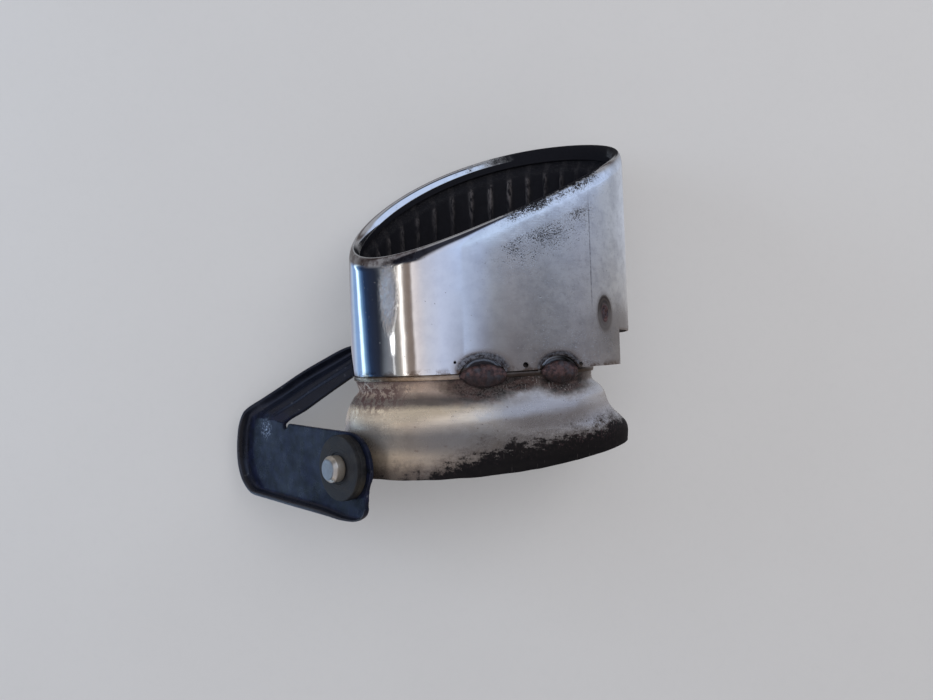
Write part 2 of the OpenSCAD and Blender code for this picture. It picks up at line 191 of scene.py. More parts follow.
def skin(rings, looped=False):
    """Faces over rings (m, n, 3). looped joins last to first, else both ends get a cap."""
    rings = np.asarray(rings, float)
    m, n = rings.shape[:2]
    verts = rings.reshape(-1, 3)
    i = np.arange(m if looped else m - 1)[:, None]
    j = np.arange(n)[None, :]
    after, beside = (i + 1) % m, (j + 1) % n
    corners = [i * n + j, i * n + beside, after * n + beside, after * n + j]
    quads = np.stack(corners, -1).reshape(-1, 4)
    p0, p1, p2, p3 = (verts[quads[:, k]] for k in range(4))
    size = (p0 * np.cross(p1, p2)).sum() + (p0 * np.cross(p2, p3)).sum()
    faces = quads.tolist()
    if not looped:
        caps = [list(range(n))[::-1], [(m - 1) * n + k for k in range(n)]]
        size += volume(verts, caps)
        faces += caps
    if size < 0:
        faces = [face[::-1] for face in faces]
    return verts, faces


def apply_modifiers(obj):
    graph = bpy.context.evaluated_depsgraph_get()
    mesh = bpy.data.meshes.new_from_object(
        obj.evaluated_get(graph), preserve_all_data_layers=True, depsgraph=graph)
    obj.modifiers.clear()
    obj.data = mesh


def drill(obj, centre, axis, radius, length, sides):
    """Cuts a round hole."""
    axis = Vector(axis).normalized()
    side = np.array(axis.orthogonal().normalized())
    axis = np.array(axis)
    angle = np.linspace(0, 2 * math.pi, sides, endpoint=False)[:, None]
    ring = np.array(centre, float) + radius * (
        np.cos(angle) * side + np.sin(angle) * np.cross(axis, side))
    cutter = make("cutter", *skin([ring - axis * length / 2, ring + axis * length / 2]))
    cut = obj.modifiers.new("cut", "BOOLEAN")
    cut.object = cutter
    cut.operation = "DIFFERENCE"
    cut.solver = "EXACT"
    old = obj.data
    apply_modifiers(obj)
    obj.data.name = old.name
    bpy.data.meshes.remove(old)
    bpy.data.objects.remove(cutter)


# --------------------------------------------------------------------------
# Outer shell
# --------------------------------------------------------------------------
SCALLOPS = [(WELD_X[0], 10.2, 6.4), (WELD_X[1], 9.2, 6.0)]      # x, half width, height
RIM_RISE = 7.0          # from the top of the plain wall to the crest
SHELL_HOLES = [         # centre, radius, length along Z
    ((-18, 3, 40), 0.65, 16), ((12.9, 1.0, 40), 1.2, 16), ((38.4, 0.9, 33), 0.9, 16)]
RIM_UNDERSIDE = [       # inset from the oval, height from the crest
    (4.0, -6.5), (4.0, -4.4), (3.6, -2.6), (2.8, -1.7), (2.0, -2.6), (1.5, -4.6),
    (SHEET, -RIM_RISE)]


def oval(inset, y, cosine, sine):
    return np.stack([(HALF_X - inset) * cosine, y, (HALF_Z - inset) * sine], -1)


def base_edge(x, z):
    """Lower edge of the wall, with a scallop over each weld bead."""
    y = base(x, z)
    for side in (1, -1):
        for centre, half_width, height in SCALLOPS:
            radius = (half_width ** 2 + height ** 2) / (2 * height)
            middle = base(centre, side * 42) + height - radius
            inside = radius * radius - (x - centre) ** 2
            edge = middle + np.sqrt(np.maximum(inside, 0))
            y = np.where((inside > 0) & (np.sign(z) == side), np.maximum(y, edge), y)
    return np.where(x > END_X, END_Y, y)


def shell():
    """Wall, rolled rim and inside face.

    Attributes: du is height from the crest, hb height above the base plane and
    pa degrees turned over the rim, with values from 176 up on the inside.
    """
    end = math.degrees(math.acos(END_X / HALF_X))
    degrees = np.linspace(0, 360, 720, endpoint=False)
    step_ends = [end - 0.03, end + 0.03, 360 - end - 0.03, 360 - end + 0.03]
    angle = np.radians(np.sort(np.concatenate([degrees, step_ends])))
    cosine, sine = np.cos(angle), np.sin(angle)
    top = crest((HALF_X - RIM) * cosine, (HALF_Z - RIM) * sine)
    foot = base_edge(HALF_X * cosine, HALF_Z * sine)
    wall_top = top - RIM_RISE
    rows, drops, turns = [], [], []

    def add(inset, y, turn=0.0):
        rows.append(oval(inset, y, cosine, sine))
        drops.append(y - top)
        turns.append(np.full(len(y), turn))

    # outer wall, with a small rolled-under base edge
    for inset, rise in ((0.25, 0.0), (0.07, 0.07), (0.0, 0.25)):
        add(inset, foot + rise)
    for part in np.linspace(0.01, 1, 36):
        add(0.0, foot + 0.25 + (wall_top - foot - 0.25) * part)
    # over the crest
    for a in np.radians(np.linspace(3, 90, 26)):
        add(RIM * (1 - math.cos(a)), top + RIM_RISE * (math.sin(a) - 1), math.degrees(a))
    for a in np.radians(np.linspace(6, 90, 18)):
        add(RIM + (RIM - 0.05) * math.sin(a), top - 5.0 * (1 - math.cos(a)),
            90 + math.degrees(a))
    for drop in (-5.6, -6.4, -7.2, -8.0):
        add(2 * RIM + 0.02, top + drop, 175 - drop)
    # rounded lip edge, then back under the rim and down the inside
    for a in np.radians(np.linspace(0, 180, 9)):
        add(2 * RIM - 0.55 + 0.6 * math.cos(a), top + (-8.3 - 0.3 * math.sin(a)), 185)
    for inset, drop in RIM_UNDERSIDE:
        add(inset, top + drop, 200)
    for part in np.linspace(0.06, 0.985, 12):
        add(SHEET, wall_top + (foot + 0.2 - wall_top) * part, 200)
    add(SHEET - 0.05, foot + 0.05, 200)
    add(SHEET - 0.3, foot, 100)
    verts, faces = skin(rows, looped=True)
    obj = make("outer_shell_visual", verts, faces, attrs={
        "du": np.concatenate(drops),
        "hb": verts[:, 1] - base(verts[:, 0], verts[:, 2]),
        "pa": np.concatenate(turns)})
    for centre, radius, length in SHELL_HOLES:
        drill(obj, centre, (0, 0, 1), radius, length, 40)
    set_sharp(obj.data, 38.0)
    return obj


# --------------------------------------------------------------------------
# Inner liner
# --------------------------------------------------------------------------
LINER_INSET = 2 * RIM + 0.5
LINER_DROP = 8.6        # reference height below the crest
LINER_BASE = 18.6
LINER_THICKNESS = 1.0
RIBS = 36
RIB_DEPTH = 1.7
LINER_TOP = [           # inset, height from LINER_DROP
    (SHEET + 1.2, 3), (SHEET + 1.2, -1), (SHEET + 1.3, -2.2), (SHEET + 2.3, -3.4),
    (LINER_INSET - 0.8, -4.6), (LINER_INSET - 0.1, -5.6), (LINER_INSET, -6.6)]


def liner():
    """Ribbed sheet inside the shell. Attributes: rib strength, du height from the crest."""
    count = RIBS * 16
    angle = -np.radians(360.0 * np.arange(count) / count)
    cosine, sine = np.cos(angle), np.sin(angle)
    top = crest((HALF_X - RIM) * cosine, (HALF_Z - RIM) * sine)
    phase = (np.arange(count) / count * RIBS % 1.0) - 0.55
    phase = np.where(phase < -0.5, phase + 1, phase)
    rib = np.exp(-np.abs(phase / 0.125) ** 2.6)
    outer = [oval(inset, top + (rise - LINER_DROP), cosine, sine) for inset, rise in LINER_TOP]
    ribs_top = top - LINER_DROP - 6.8
    for part in np.linspace(0.012, 0.985, 46):
        y = ribs_top + (LINER_BASE - ribs_top) * part
        fade = smooth(0, 3.5, ribs_top - y) * smooth(0, 3.5, y - (LINER_BASE + 3))
        outer.append(oval(LINER_INSET + RIB_DEPTH * fade * rib, y, cosine, sine))
    outer.append(oval(LINER_INSET, np.full(count, LINER_BASE), cosine, sine))
    inward = LINER_THICKNESS * np.stack([cosine, 0 * cosine, sine], -1)
    rows = outer + [row - inward for row in outer[::-1]]
    return make("inner_liner_visual", *skin(rows, looped=True), sharp=60, attrs={
        "rib": np.tile(rib, len(rows)), "du": np.concatenate([row[:, 1] - top for row in rows])})


# --------------------------------------------------------------------------
# Base ring and inlet collar
# --------------------------------------------------------------------------
NECK_INSET = 1.2
NECK_RIGHT = 49.3       # right end of the neck
CAP_START = 12.0        # x where the neck starts to close towards its right end
CAP_POWER = 3.5
RING_SECTION = [        # inset, height from the base plane
    (2.9, -0.06), (1.7, -0.08), (1.35, -0.25), (1.18, -0.7), (1.12, -1.3), (1.18, -1.9),
    (1.4, -2.35), (1.8, -2.5), (4.4, -2.5)]
RING_TOP_INSETS = (4.4, 2.9)
# Collar outline: fraction of the way down to the inlet, then x or half depth.
COLLAR_LEFT = [
    (0, -67.0), (0.06, -66.2), (0.11, -65.8), (0.19, -68.6), (0.27, -70.6), (0.36, -71.9),
    (0.46, -72.7), (0.56, -73.3), (0.76, -73.9), (1, -74)]
COLLAR_RIGHT = [
    (0, 48.4), (0.06, 48.4), (0.12, 49.4), (0.19, 52.6), (0.27, 54.7), (0.36, 55.8),
    (0.46, 57.4), (0.56, 60.2), (0.66, 63.6), (0.76, 66.1), (0.86, 66.9), (1, 66.7)]
COLLAR_HALF_DEPTH = [
    (0, 41.9), (0.06, 41.3), (0.12, 41.1), (0.19, 41.9), (0.27, 43.4), (0.36, 44.9),
    (0.44, 45.6), (0.54, 45.5), (0.7, 45.2), (1, 44.6)]


def neck_z(x, inset, right):
    """Half depth of the neck: an oval closed off towards the right."""
    x = np.asarray(x, float)
    reach = np.maximum(0, (x - CAP_START) / (right - CAP_START))
    cap = np.maximum(0, 1 - reach ** CAP_POWER) ** (1 / CAP_POWER)
    return (HALF_Z - inset) * np.sqrt(np.maximum(0, 1 - (x / (HALF_X - inset)) ** 2)) * cap


def neck_ring(angle, inset, right):
    left = inset - HALF_X
    x = left + (right - left) * (1 + np.cos(angle)) / 2
    return x, np.sign(np.sin(angle)) * neck_z(x, inset, right)


def half_step_angles(count):
    return (np.arange(count) + 0.5) * 2 * math.pi / count


def base_ring():
    angle = half_step_angles(560)

    def row(inset, rise=None):
        x, z = neck_ring(angle, inset, NECK_RIGHT - (inset - NECK_INSET))
        y = np.full(len(angle), PLATE_Y - 0.06) if rise is None else base(x, z) + rise
        return np.stack([x, y, z], -1)

    rows = [row(*station) for station in RING_SECTION] + [row(i) for i in RING_TOP_INSETS]
    return make("base_ring_visual", *skin(rows, looped=True))


def collar_points(angle, part, inset):
    left = spline(part, COLLAR_LEFT) + inset
    right = spline(part, COLLAR_RIGHT) - inset
    half_depth = spline(part, COLLAR_HALF_DEPTH) - inset
    x = left + (right - left) * (1 + np.cos(angle)) / 2
    neck = neck_ring(angle, NECK_INSET, NECK_RIGHT)[1]
    # the section eases from the neck's outline to an ellipse
    weight = (1 - part) ** 1.5
    z = half_depth * ((1 - weight) * np.sin(angle) + weight * neck / (HALF_Z - NECK_INSET))
    top = base(x, z) - 2.56
    bottom = -46 + 0.0896 * x + 0.00091 * x * x
    return np.stack([x, top + (bottom - top) * part, z], -1)


def collar():
    """Attributes: fr is the fraction of the way down, inside is 1 on the inner face."""
    count = 640
    angle = half_step_angles(count)
    parts = np.concatenate([[0, 0.008], np.linspace(0.02, 0.985, 74), [0.993, 1.0]])
    rows = [collar_points(angle, part, 0.0) for part in parts]
    rows += [collar_points(angle, part, SHEET) for part in parts[::-1]]
    smooth_verts, faces = skin(rows, looped=True)
    down = np.repeat(np.concatenate([parts, parts[::-1]]), count)
    inside = np.repeat([0.0, 1.0], len(parts) * count)
    # hand-worked unevenness of thin sheet; both faces move together
    outward = smooth_verts / [70.0, 1.0, 45.0] * [1, 0, 1]
    outward /= np.linalg.norm(outward, axis=1)[:, None] + 1e-9
    dent = np.abs(fbm(smooth_verts, 26, 3, 2)) * 0.45 * smooth(0.1, 0.25, down)
    verts = smooth_verts - outward * dent[:, None]
    verts[:, 1] += fbm(smooth_verts * [1, 0, 1], 9, 8, 2) * 0.28 * smooth(0.9, 1.0, down)
    return make("inlet_collar_visual", verts, faces, attrs={"fr": down, "inside": inside})


# --------------------------------------------------------------------------
# Welds; side is 1 at the front and -1 at the rear
# --------------------------------------------------------------------------
def weld_bead(name, x, length, side, seed):
    """Bead that bridges the shell and the neck."""
    sides, steps, ripples = 56, 110, 6
    half_height, half_depth = 5, 2.6
    angle = -circle_angles(sides)
    rows = []
    for i in range(steps + 1):
        part = i / steps
        bulge = math.sqrt(max(0.004, 1 - (2 * part - 1) ** 2))
        ripple = 1 + 0.07 * math.cos(part * ripples * 2 * math.pi)
        # the ripples bow along the bead, as a moving weld pool leaves them
        bow = 0.5 * np.cos(angle) ** 2 * length / ripples * 0.5
        rows.append(np.stack([length * (part - 0.5) + bow * (bulge > 0.3),
                              half_height * bulge * 0.97 * np.cos(angle),
                              half_depth * bulge ** 0.7 * ripple * np.sin(angle)], -1))
    points = np.concatenate(rows)
    squash = np.array([0.3, 1, 1])
    outward = points * squash
    outward /= np.linalg.norm(outward, axis=1)[:, None] + 1e-6
    rough = fbm(points + seed * 31.7, 2.2, seed) * 0.4
    points = points + outward * rough[:, None] * squash
    limit = np.array([length / 2 + 0.2, half_height * 1.02, half_depth * 1.08])
    points = np.clip(points, -limit, limit)
    # the lower edge sags towards the collar
    points[:, 1] -= 0.6 * np.cos(points[:, 0] / length * math.pi) * (points[:, 1] < 0)
    z, left, right = (float(neck_z(x + i, NECK_INSET, NECK_RIGHT)) for i in (0, -8, 8))
    slope = math.atan2(right - left, 16) * side
    depth = side * (z * 0.55 + wall_z(x) * 0.45 - 0.9)
    points = points @ turn_y(-slope).T + np.array([x, base(x, z) - 1.2, depth])
    return make(name, *skin(points.reshape(steps + 1, sides, 3)), sharp=60)


def plug(name, side, seed):
    """Domed oval weld on the wall near the right end."""
    sides, steps = 72, 26
    half_width, half_height = 2.6, 5.0
    z = wall_z(PLUG_X)
    slope = math.atan2(HALF_Z * HALF_Z * PLUG_X, HALF_X * HALF_X * z) * side
    angle = circle_angles(sides)
    rows = []
    for i in range(steps + 1):
        radius = 1 - i / steps                      # 1 at the edge, 0 at the centre
        dome = 0.85 * (1 - radius ** 6) * (0.55 + 0.45 * math.cos(radius * 2.6 * math.pi) ** 2)
        dome *= 0.75 + 0.25 * (1 - radius)
        reach = max(radius, 0.004)
        rows.append(np.stack([half_width * reach * np.cos(angle),
                              half_height * reach * np.sin(angle),
                              np.full(sides, -0.35 + dome)], -1))
    bottom = rows[0].copy()
    bottom[:, 2] = -1.0
    points = np.concatenate([bottom] + rows)
    domed = points[:, 2] > -0.9
    points[domed, 2] += fbm(points[domed] + seed * 9.1, 1.6, seed) * 0.16
    if side < 0:
        points[:, 2] *= -1
    points = points @ turn_y(slope).T + np.array([PLUG_X, PLUG_Y, side * z])
    return make(name, *skin(points.reshape(steps + 2, sides, 3)), sharp=60)


def rippled_rod(name, centres, first_reach, second_reach, period, end_power):
    """Weld run along centres, with an elliptical section spanned by the two reaches."""
    angle = circle_angles(24)[:, None]
    section = np.cos(angle) * np.array(first_reach) + np.sin(angle) * np.array(second_reach)
    last = len(centres) - 1
    rows = []
    for i, centre in enumerate(centres):
        taper = math.sqrt(max(0.03, 1 - abs(2 * i / last - 1) ** end_power))
        ripple = 1 + 0.10 * math.cos(i * 2 * math.pi / period)
        rows.append(np.array(centre) + taper * ripple * section)
    return make(name, *skin(rows), sharp=60)


def seam_weld():
    angle = np.array([math.radians(-96)])
    centres = [collar_points(angle, 0.16 + 0.78 * i / 150, 0.0)[0] for i in range(151)]
    return rippled_rod("collar_seam_weld_visual", centres, (1.7, 0, 0), (0, 0, 0.7), 6, 8)


def hanger_fillet(name, y):
    stations = [-60 + 17.6 * i / 96 for i in range(97)]
    centres = [(x, y, -wall_z(x, 0.4)) for x in stations]
    return rippled_rod(name, centres, (0, 1.9, 0), (0, 0, -1.3), 9, 4)


# --------------------------------------------------------------------------
# Hanger bracket: plate frame (u, v, height) about the isolator's axis
# --------------------------------------------------------------------------
HUB = np.array([-68.69, -42.9, 26.42])
DIAGONAL = math.sqrt(0.5)
PLATE_U = np.array([DIAGONAL, 0, DIAGONAL])
PLATE_V = np.array([0, 1.0, 0])
AXIS = np.array([-DIAGONAL, 0, DIAGONAL])
HANGER_SHEET = 2.0

# fold line of the plate: u, v
FOLD = [
    (13.2, -17.2), (12.5, -19.2), (11, -20.5), (8.6, -21.3), (4.9, -21.6), (-2, -21),
    (-10, -19.6), (-20, -18.2), (-41, -17.3), (-61.6, -16.3), (-72, -15.8), (-77, -15.4),
    (-80.2, -14.3), (-83.2, -12.4), (-85.9, -10), (-87.8, -7), (-89.3, -2.9), (-89.9, 2.8),
    (-89.5, 8), (-88.3, 13.8), (-85.9, 18.3)]
# size of the flange along the fold and on along the arm
FLANGE_SIZE = ([0.3, 0.36, 0.42, 0.48, 0.55, 0.7, 0.85] + [1.0] * 14
               + [1, 1, 1, 1, 1, 0.9, 0.3])
# flange section: outward from the fold, height
FLANGE_SECTION = [
    (-0.4, -0.07), (0.9, 0.22), (1.7, 1.0), (2.1, 2.2), (2.2, 4.6), (2.9, 5.1),
    (4.0, 4.8), (4.1, 3.2), (4.1, 1.6), (3.4, -0.5), (1.9, -1.66), (-0.4, -1.93)]
# the arm's two edges in the shell frame, from the plate to the shell
ARM = np.array([
    ([-127.2, -21.85, -32.1], [-107.0, -24.2, -11.9]),
    ([-119.0, -17.2, -29.0], [-103.2, -21.2, -13.4]),
    ([-108.6, -10.7, -29.7], [-96.6, -17.5, -15.6]),
    ([-98.5, -4.0, -31.1], [-89.4, -12.4, -17.8]),
    ([-86.5, 2.7, -31.4], [-81.6, -7.0, -20.2]),
    ([-74.9, 9.2, -30.9], [-73.4, -1.6, -22.4]),
    ([-66.4, 14.9, -27.9], [-66.3, 2.6, -23.0]),
    ([-60.4, 21.0, -24.9], [-60.2, 5.6, -24.0])])
# arm section: fraction across, ridge height
ARM_SECTION = [(0, 0), (0.14, 0), (0.22, 1.1), (0.48, 1.1), (0.57, 0), (0.8, 0), (1, 0)]


def hub_to_shell(points):
    points = np.asarray(points, float)
    return (HUB + points[..., 0:1] * PLATE_U + points[..., 1:2] * PLATE_V
            + points[..., 2:3] * AXIS)


def arc(centre, radius, start, end, steps):
    angles = np.radians(np.linspace(start, end, steps + 1))
    return [(centre[0] + radius * math.cos(a), centre[1] + radius * math.sin(a))
            for a in angles]


def arm_normals():
    middle = (ARM[:, 0] + ARM[:, 1]) / 2
    along = np.array([middle[min(i + 1, 7)] - middle[max(i - 1, 0)] for i in range(8)])
    return unit(np.cross(along, ARM[:, 0] - ARM[:, 1]))


def hanger_plate():
    outline = arc((1.2, -0.1), 16.1, 90, 0, 28)
    outline += [(17.2, -2.4), (16.5, -4.8), (14.9, -7.6), (14.1, -9.8), (13.5, -14)] + FOLD
    outline += [(-82.7, 21.05), (-62, 20.0), (-54.2, 18.9)]
    outline += arc((-52, 17.4), 1.8, 160, 340, 18)
    outline += [(-49.6, 18.0), (-48.6, 18.35), (-38, 17.8), (-17, 16.8)]
    verts, faces = skin([hub_to_shell([(u, v, height) for u, v in outline])
                         for height in (-HANGER_SHEET, 0.0)])
    # the two caps come first
    return make("plate", verts, faces[-2:] + faces[:-2], sharp=0)


def hanger_flange():
    """Rolled flange, swept along the fold line and on along the arm."""
    normals = arm_normals()
    points = [hub_to_shell([u, v, 0.0]) for u, v in FOLD] + list(ARM[:7, 0])
    heights = [AXIS] * len(FOLD) + [unit(AXIS + normals[0])] + list(normals[1:7])
    stations = np.linspace(0, len(points) - 1, 420)
    path = spline(stations, list(enumerate(points)))
    up = unit(spline(stations, list(enumerate(heights))))
    size = spline(stations, list(enumerate(FLANGE_SIZE)))
    out = unit(np.cross(up, unit(np.gradient(path, axis=0))))
    # ease the outward direction so that tight bends leave no kink
    for _ in range(6):
        out[1:-1] = unit(out[:-2] + 2 * out[1:-1] + out[2:])
    section = spline(np.linspace(0, 11, 44), list(enumerate(FLANGE_SECTION)))
    rows = []
    for i in range(len(stations)):
        scaled = np.where(section > 0, section * size[i], section)
        rows.append(path[i] + scaled[:, :1] * out[i] + scaled[:, 1:] * up[i])
    return make("flange", *skin(rows), sharp=0)


def hanger_arm():
    """Arm with its stiffening ridge, which fades at both ends."""
    stations = np.linspace(0, 7, 130)
    upper, lower = (spline(stations, list(enumerate(ARM[:, k]))) for k in (0, 1))
    normal = unit(spline(stations, list(enumerate(arm_normals()))))
    section = spline(np.linspace(0, 6, 46), list(enumerate(ARM_SECTION)))
    ridge = np.maximum(section[:, 1:2], 0)
    rows = []
    for i, s in enumerate(stations):
        fade = 0.05 + 0.95 * float(smooth(0, 0.9, s) * (1 - smooth(6.2, 7, s)))
        top = upper[i] + (lower[i] - upper[i]) * section[:, 0:1] + normal[i] * (ridge * fade)
        rows.append(np.concatenate([top, (top - normal[i] * HANGER_SHEET)[::-1]]))
    return make("arm", *skin(rows), sharp=0)


def hanger_foot():
    """Curved pad on the rear wall."""
    left, right, low, high = -63, -40, 5, 27.5
    gap = 0.16
    rows = []
    for x in np.linspace(left, right, 40):
        swell = 1.5 * math.sin((x - left) / (right - left) * math.pi)
        inner, outer = -wall_z(x, gap), -wall_z(x, gap + HANGER_SHEET)
        rows.append([[x, low - swell, inner], [x, high + swell, inner],
                     [x, high + swell, outer], [x, low - swell, outer]])
    return make("foot", *skin(rows), sharp=0)


def hanger():
    """One pressed sheet: the parts are joined, remeshed finely and eased at the seams."""
    parts = [hanger_plate(), hanger_flange(), hanger_arm(), hanger_foot()]
    joined = bmesh.new()
    for part in parts:
        joined.from_mesh(part.data)
    mesh = bpy.data.meshes.new("hanger_bracket_visual")
    joined.to_mesh(mesh)
    joined.free()
    for part in parts:
        bpy.data.objects.remove(part)
    obj = add_object("hanger_bracket_visual", mesh)
    remesh = obj.modifiers.new("remesh", "REMESH")
    remesh.mode = "VOXEL"
    remesh.voxel_size = 0.36 * MM
    remesh.adaptivity = 0.0
    ease = obj.modifiers.new("ease", "SMOOTH")
    ease.factor = 0.5
    ease.iterations = 7
    apply_modifiers(obj)
    drill(obj, HUB, AXIS, 9.5, 16, 96)
    set_sharp(obj.data, 50)
    return obj


# --------------------------------------------------------------------------
# Isolator and pin, turned about the hub's axis
# --------------------------------------------------------------------------
# radius, height, corner rounding
RUBBER_PROFILE = [
    (5.35, -3.35, 0), (13.2, -3.35, 0.5), (13.2, -2.04, 0.3), (9.4, -2.04, 0),
    (9.4, 0.04, 0), (14.9, 0.04, 0.4), (15.0, 2.6, 0.2), (14.7, 3.0, 0.3), (14.9, 3.4, 0.2),
    (14.85, 5.0, 1.3), (9.9, 5.0, 0.2), (9.6, 4.9, 0.2), (9.2, 5.0, 0.2), (7.2, 5.0, 0.2),
    (7.2, 4.6, 0.15), (5.35, 4.6, 0.1)]
PIN_PROFILE = [
    (0, -4.95, 0), (5.9, -4.95, 0.3), (6.4, -4.6, 0.2), (6.4, -4.25, 0.1), (4.5, -4.25, 0),
    (4.5, 5.05, 0), (6.0, 5.05, 0.15), (6.0, 9.1, 0.35), (4.5, 10.6, 0.5), (0, 10.6, 0)]


def rounded(corners):
    """Rounds the corners of a profile to (radius, height) points."""
    points = []
    for i, (radius, height, rounding) in enumerate(corners):
        if rounding <= 0:
            points.append((radius, height))
            continue
        corner = np.array([radius, height], float)
        before = np.array(corners[i - 1][:2], float) - corner
        after = np.array(corners[(i + 1) % len(corners)][:2], float) - corner
        before_length, after_length = np.linalg.norm(before), np.linalg.norm(after)
        cut = min(rounding, before_length * 0.45, after_length * 0.45)
        start = corner + before / before_length * cut
        end = corner + after / after_length * cut
        for f in np.linspace(0, 1, 7):
            points.append(tuple((1 - f) ** 2 * start + 2 * f * (1 - f) * corner + f * f * end))
    return points


def revolve(name, corners):
    """A profile that starts off the axis is a closed loop."""
    angle = circle_angles(160)
    rows = []
    for radius, height in rounded(corners):
        radius = max(radius, 0.02)
        rows.append(np.stack([radius * np.cos(angle), radius * np.sin(angle),
                              np.full(len(angle), height)], -1))
    looped = corners[0][0] > 1e-6
    return make(name, *skin(hub_to_shell(rows), looped=looped), sharp=34)


# --------------------------------------------------------------------------
# Shader graphs
# --------------------------------------------------------------------------
def operation(kind, swap=False):
    def apply(self, other=0.0):
        left, right = (other, self) if swap else (self, other)
        return self.graph.math(kind, left, right)
    return apply


class Field:
    """A shader node output; arithmetic on it adds Math nodes."""

    def __init__(self, graph, socket):
        self.graph = graph
        self.socket = socket

    __add__ = operation("ADD")
    __radd__ = operation("ADD", swap=True)
    __sub__ = operation("SUBTRACT")
    __rsub__ = operation("SUBTRACT", swap=True)
    __mul__ = operation("MULTIPLY")
    __truediv__ = operation("DIVIDE")
    __abs__ = operation("ABSOLUTE")

    def rise(self, low, high):
        """Smooth step from 0 at low to 1 at high; low may be the larger."""
        return self.graph.add("MapRange", {"Value": self, "From Min": low, "From Max": high},
                              "Result", interpolation_type="SMOOTHSTEP", clamp=True)

    def fall(self, low, high):
        """Smooth step from 1 at low to 0 at high."""
        return 1 - self.rise(low, high)

    def band(self, rising, falling):
        """1 between two smooth edges."""
        return self.rise(*rising) * self.fall(*falling)

    def swing(self, amount):
        """Centres a 0 to 1 field on zero and scales it."""
        return (self - 0.5) * amount

    def lerp(self, low, high):
        """Number between low and high, with this field as the factor."""
        return self.graph.lerp(self, low, high)

    def tint(self, first, second):
        """Colour between first and second, with this field as the factor."""
        return self.graph.colour(self, first, second)

    def ramp(self, stops):
        field = self.graph.add("ValToRGB", {0: self})
        elements = field.socket.node.color_ramp.elements
        while len(elements) < len(stops):
            elements.new(0.5)
        for element, (position, colour) in zip(elements, stops):
            element.position = position
            element.color = colour + (1.0,)
        return field


class Graph:
    def __init__(self, tree):
        self.tree = tree
        tree.nodes.clear()

    def link(self, value, socket):
        if isinstance(value, Field):
            self.tree.links.new(value.socket, socket)
        elif isinstance(value, tuple):
            alpha = len(value) == 3 and len(socket.default_value) == 4
            socket.default_value = value + ((1.0,) if alpha else ())
        else:
            socket.default_value = value

    def add(self, kind, inputs=None, output=0, **settings):
        """Adds a node, feeds its inputs and returns one output."""
        node = self.tree.nodes.new("ShaderNode" + kind)
        for name, value in settings.items():
            setattr(node, name, value)
        for key, value in (inputs or {}).items():
            self.link(value, node.inputs[key])
        return Field(self, node.outputs[output])

    def axes(self, vector):
        first = self.add("SeparateXYZ", {0: vector})
        return [Field(self, socket) for socket in first.socket.node.outputs]

    def math(self, kind, left, right=0.0):
        return self.add("Math", {0: left, 1: right}, operation=kind)

    def max(self, *fields):
        return reduce(lambda a, b: self.math("MAXIMUM", a, b), fields)

    def min(self, *fields):
        return reduce(lambda a, b: self.math("MINIMUM", a, b), fields)

    def lerp(self, factor, low, high):
        return self.add("Mix", {0: factor, 2: low, 3: high}, data_type="FLOAT",
                        clamp_factor=True)

    def colour(self, factor, first, second, blend="MIX"):
        return self.add("Mix", {0: factor, 6: first, 7: second}, 2, data_type="RGBA",
                        blend_type=blend, clamp_factor=True)


class Material(Graph):
    """Material whose place fields are millimetres in the shell frame."""

    def __init__(self, name):
        self.material = bpy.data.materials.new(name)
        self.material.use_nodes = True
        super().__init__(self.material.node_tree)
        output = self.tree.nodes.new("ShaderNodeOutputMaterial")
        surface = self.add("BsdfPrincipled")
        self.shader = surface.socket.node
        self.link(surface, output.inputs[0])
        self.place = self.add("TexCoord", output="Object")
        self.place = self.mapped((1000, 1000, 1000), shift=tuple(-SHELL_ORIGIN))
        self.x, self.y, self.z = self.axes(self.place)

    def mapped(self, stretch=(1, 1, 1), turn=0, shift=(0, 0, 0)):
        """Place, stretched, turned about Z by degrees and shifted."""
        return self.add("Mapping", {0: self.place, "Scale": stretch, "Location": shift,
                                    "Rotation": (0, 0, math.radians(turn))})

    def noise(self, scale, detail=4, rough=0.6, distortion=0.0, **mapping):
        """scale is in features per millimetre."""
        place = self.mapped(**mapping) if mapping else self.place
        return self.add("TexNoise", {"Vector": place, "Scale": scale, "Detail": detail,
                                     "Roughness": rough, "Distortion": distortion}, "Fac")

    def attr(self, name):
        return self.add("Attribute", output="Fac", attribute_name=name)

    def distance(self, centre, radii):
        """0 at the centre of an ellipsoid and 1 on its surface."""
        place = self.mapped(tuple(1 / r for r in radii),
                            shift=tuple(-c / r for c, r in zip(centre, radii)))
        return self.add("VectorMath", {0: place}, "Value", operation="LENGTH")

    def blob(self, centre, radii, soft, warp=None, amount=0.0):
        """1 inside an ellipsoid, 0 outside, with a soft edge that warp makes ragged."""
        distance = self.distance(centre, radii)
        if warp is not None:
            distance = distance + warp.swing(amount)
        return distance.fall(1 - soft, 1 + soft)

    def finish(self, colour, rough, metal, height, depth, strength, spec=0.5):
        """height is the relief, depth its bump distance in millimetres."""
        bump = self.add("Bump", {"Strength": strength, "Distance": depth * MM,
                                 "Height": height})
        for name, value in (("Base Color", colour), ("Roughness", rough), ("Metallic", metal),
                            ("Normal", bump), ("Specular IOR Level", spec)):
            self.link(value, self.shader.inputs[name])
        return self.material


def bead_distance(mat, zones, wobble=None):
    """Distance to the nearest zone at the front or the rear."""
    nearest = []
    for side in (1, -1):
        fields = [mat.distance((x, y, z * side), radii) for (x, y, z), radii in zones]
        nearest.append(mat.min(*(f + wobble if wobble else f for f in fields)))
    return mat.min(*nearest)


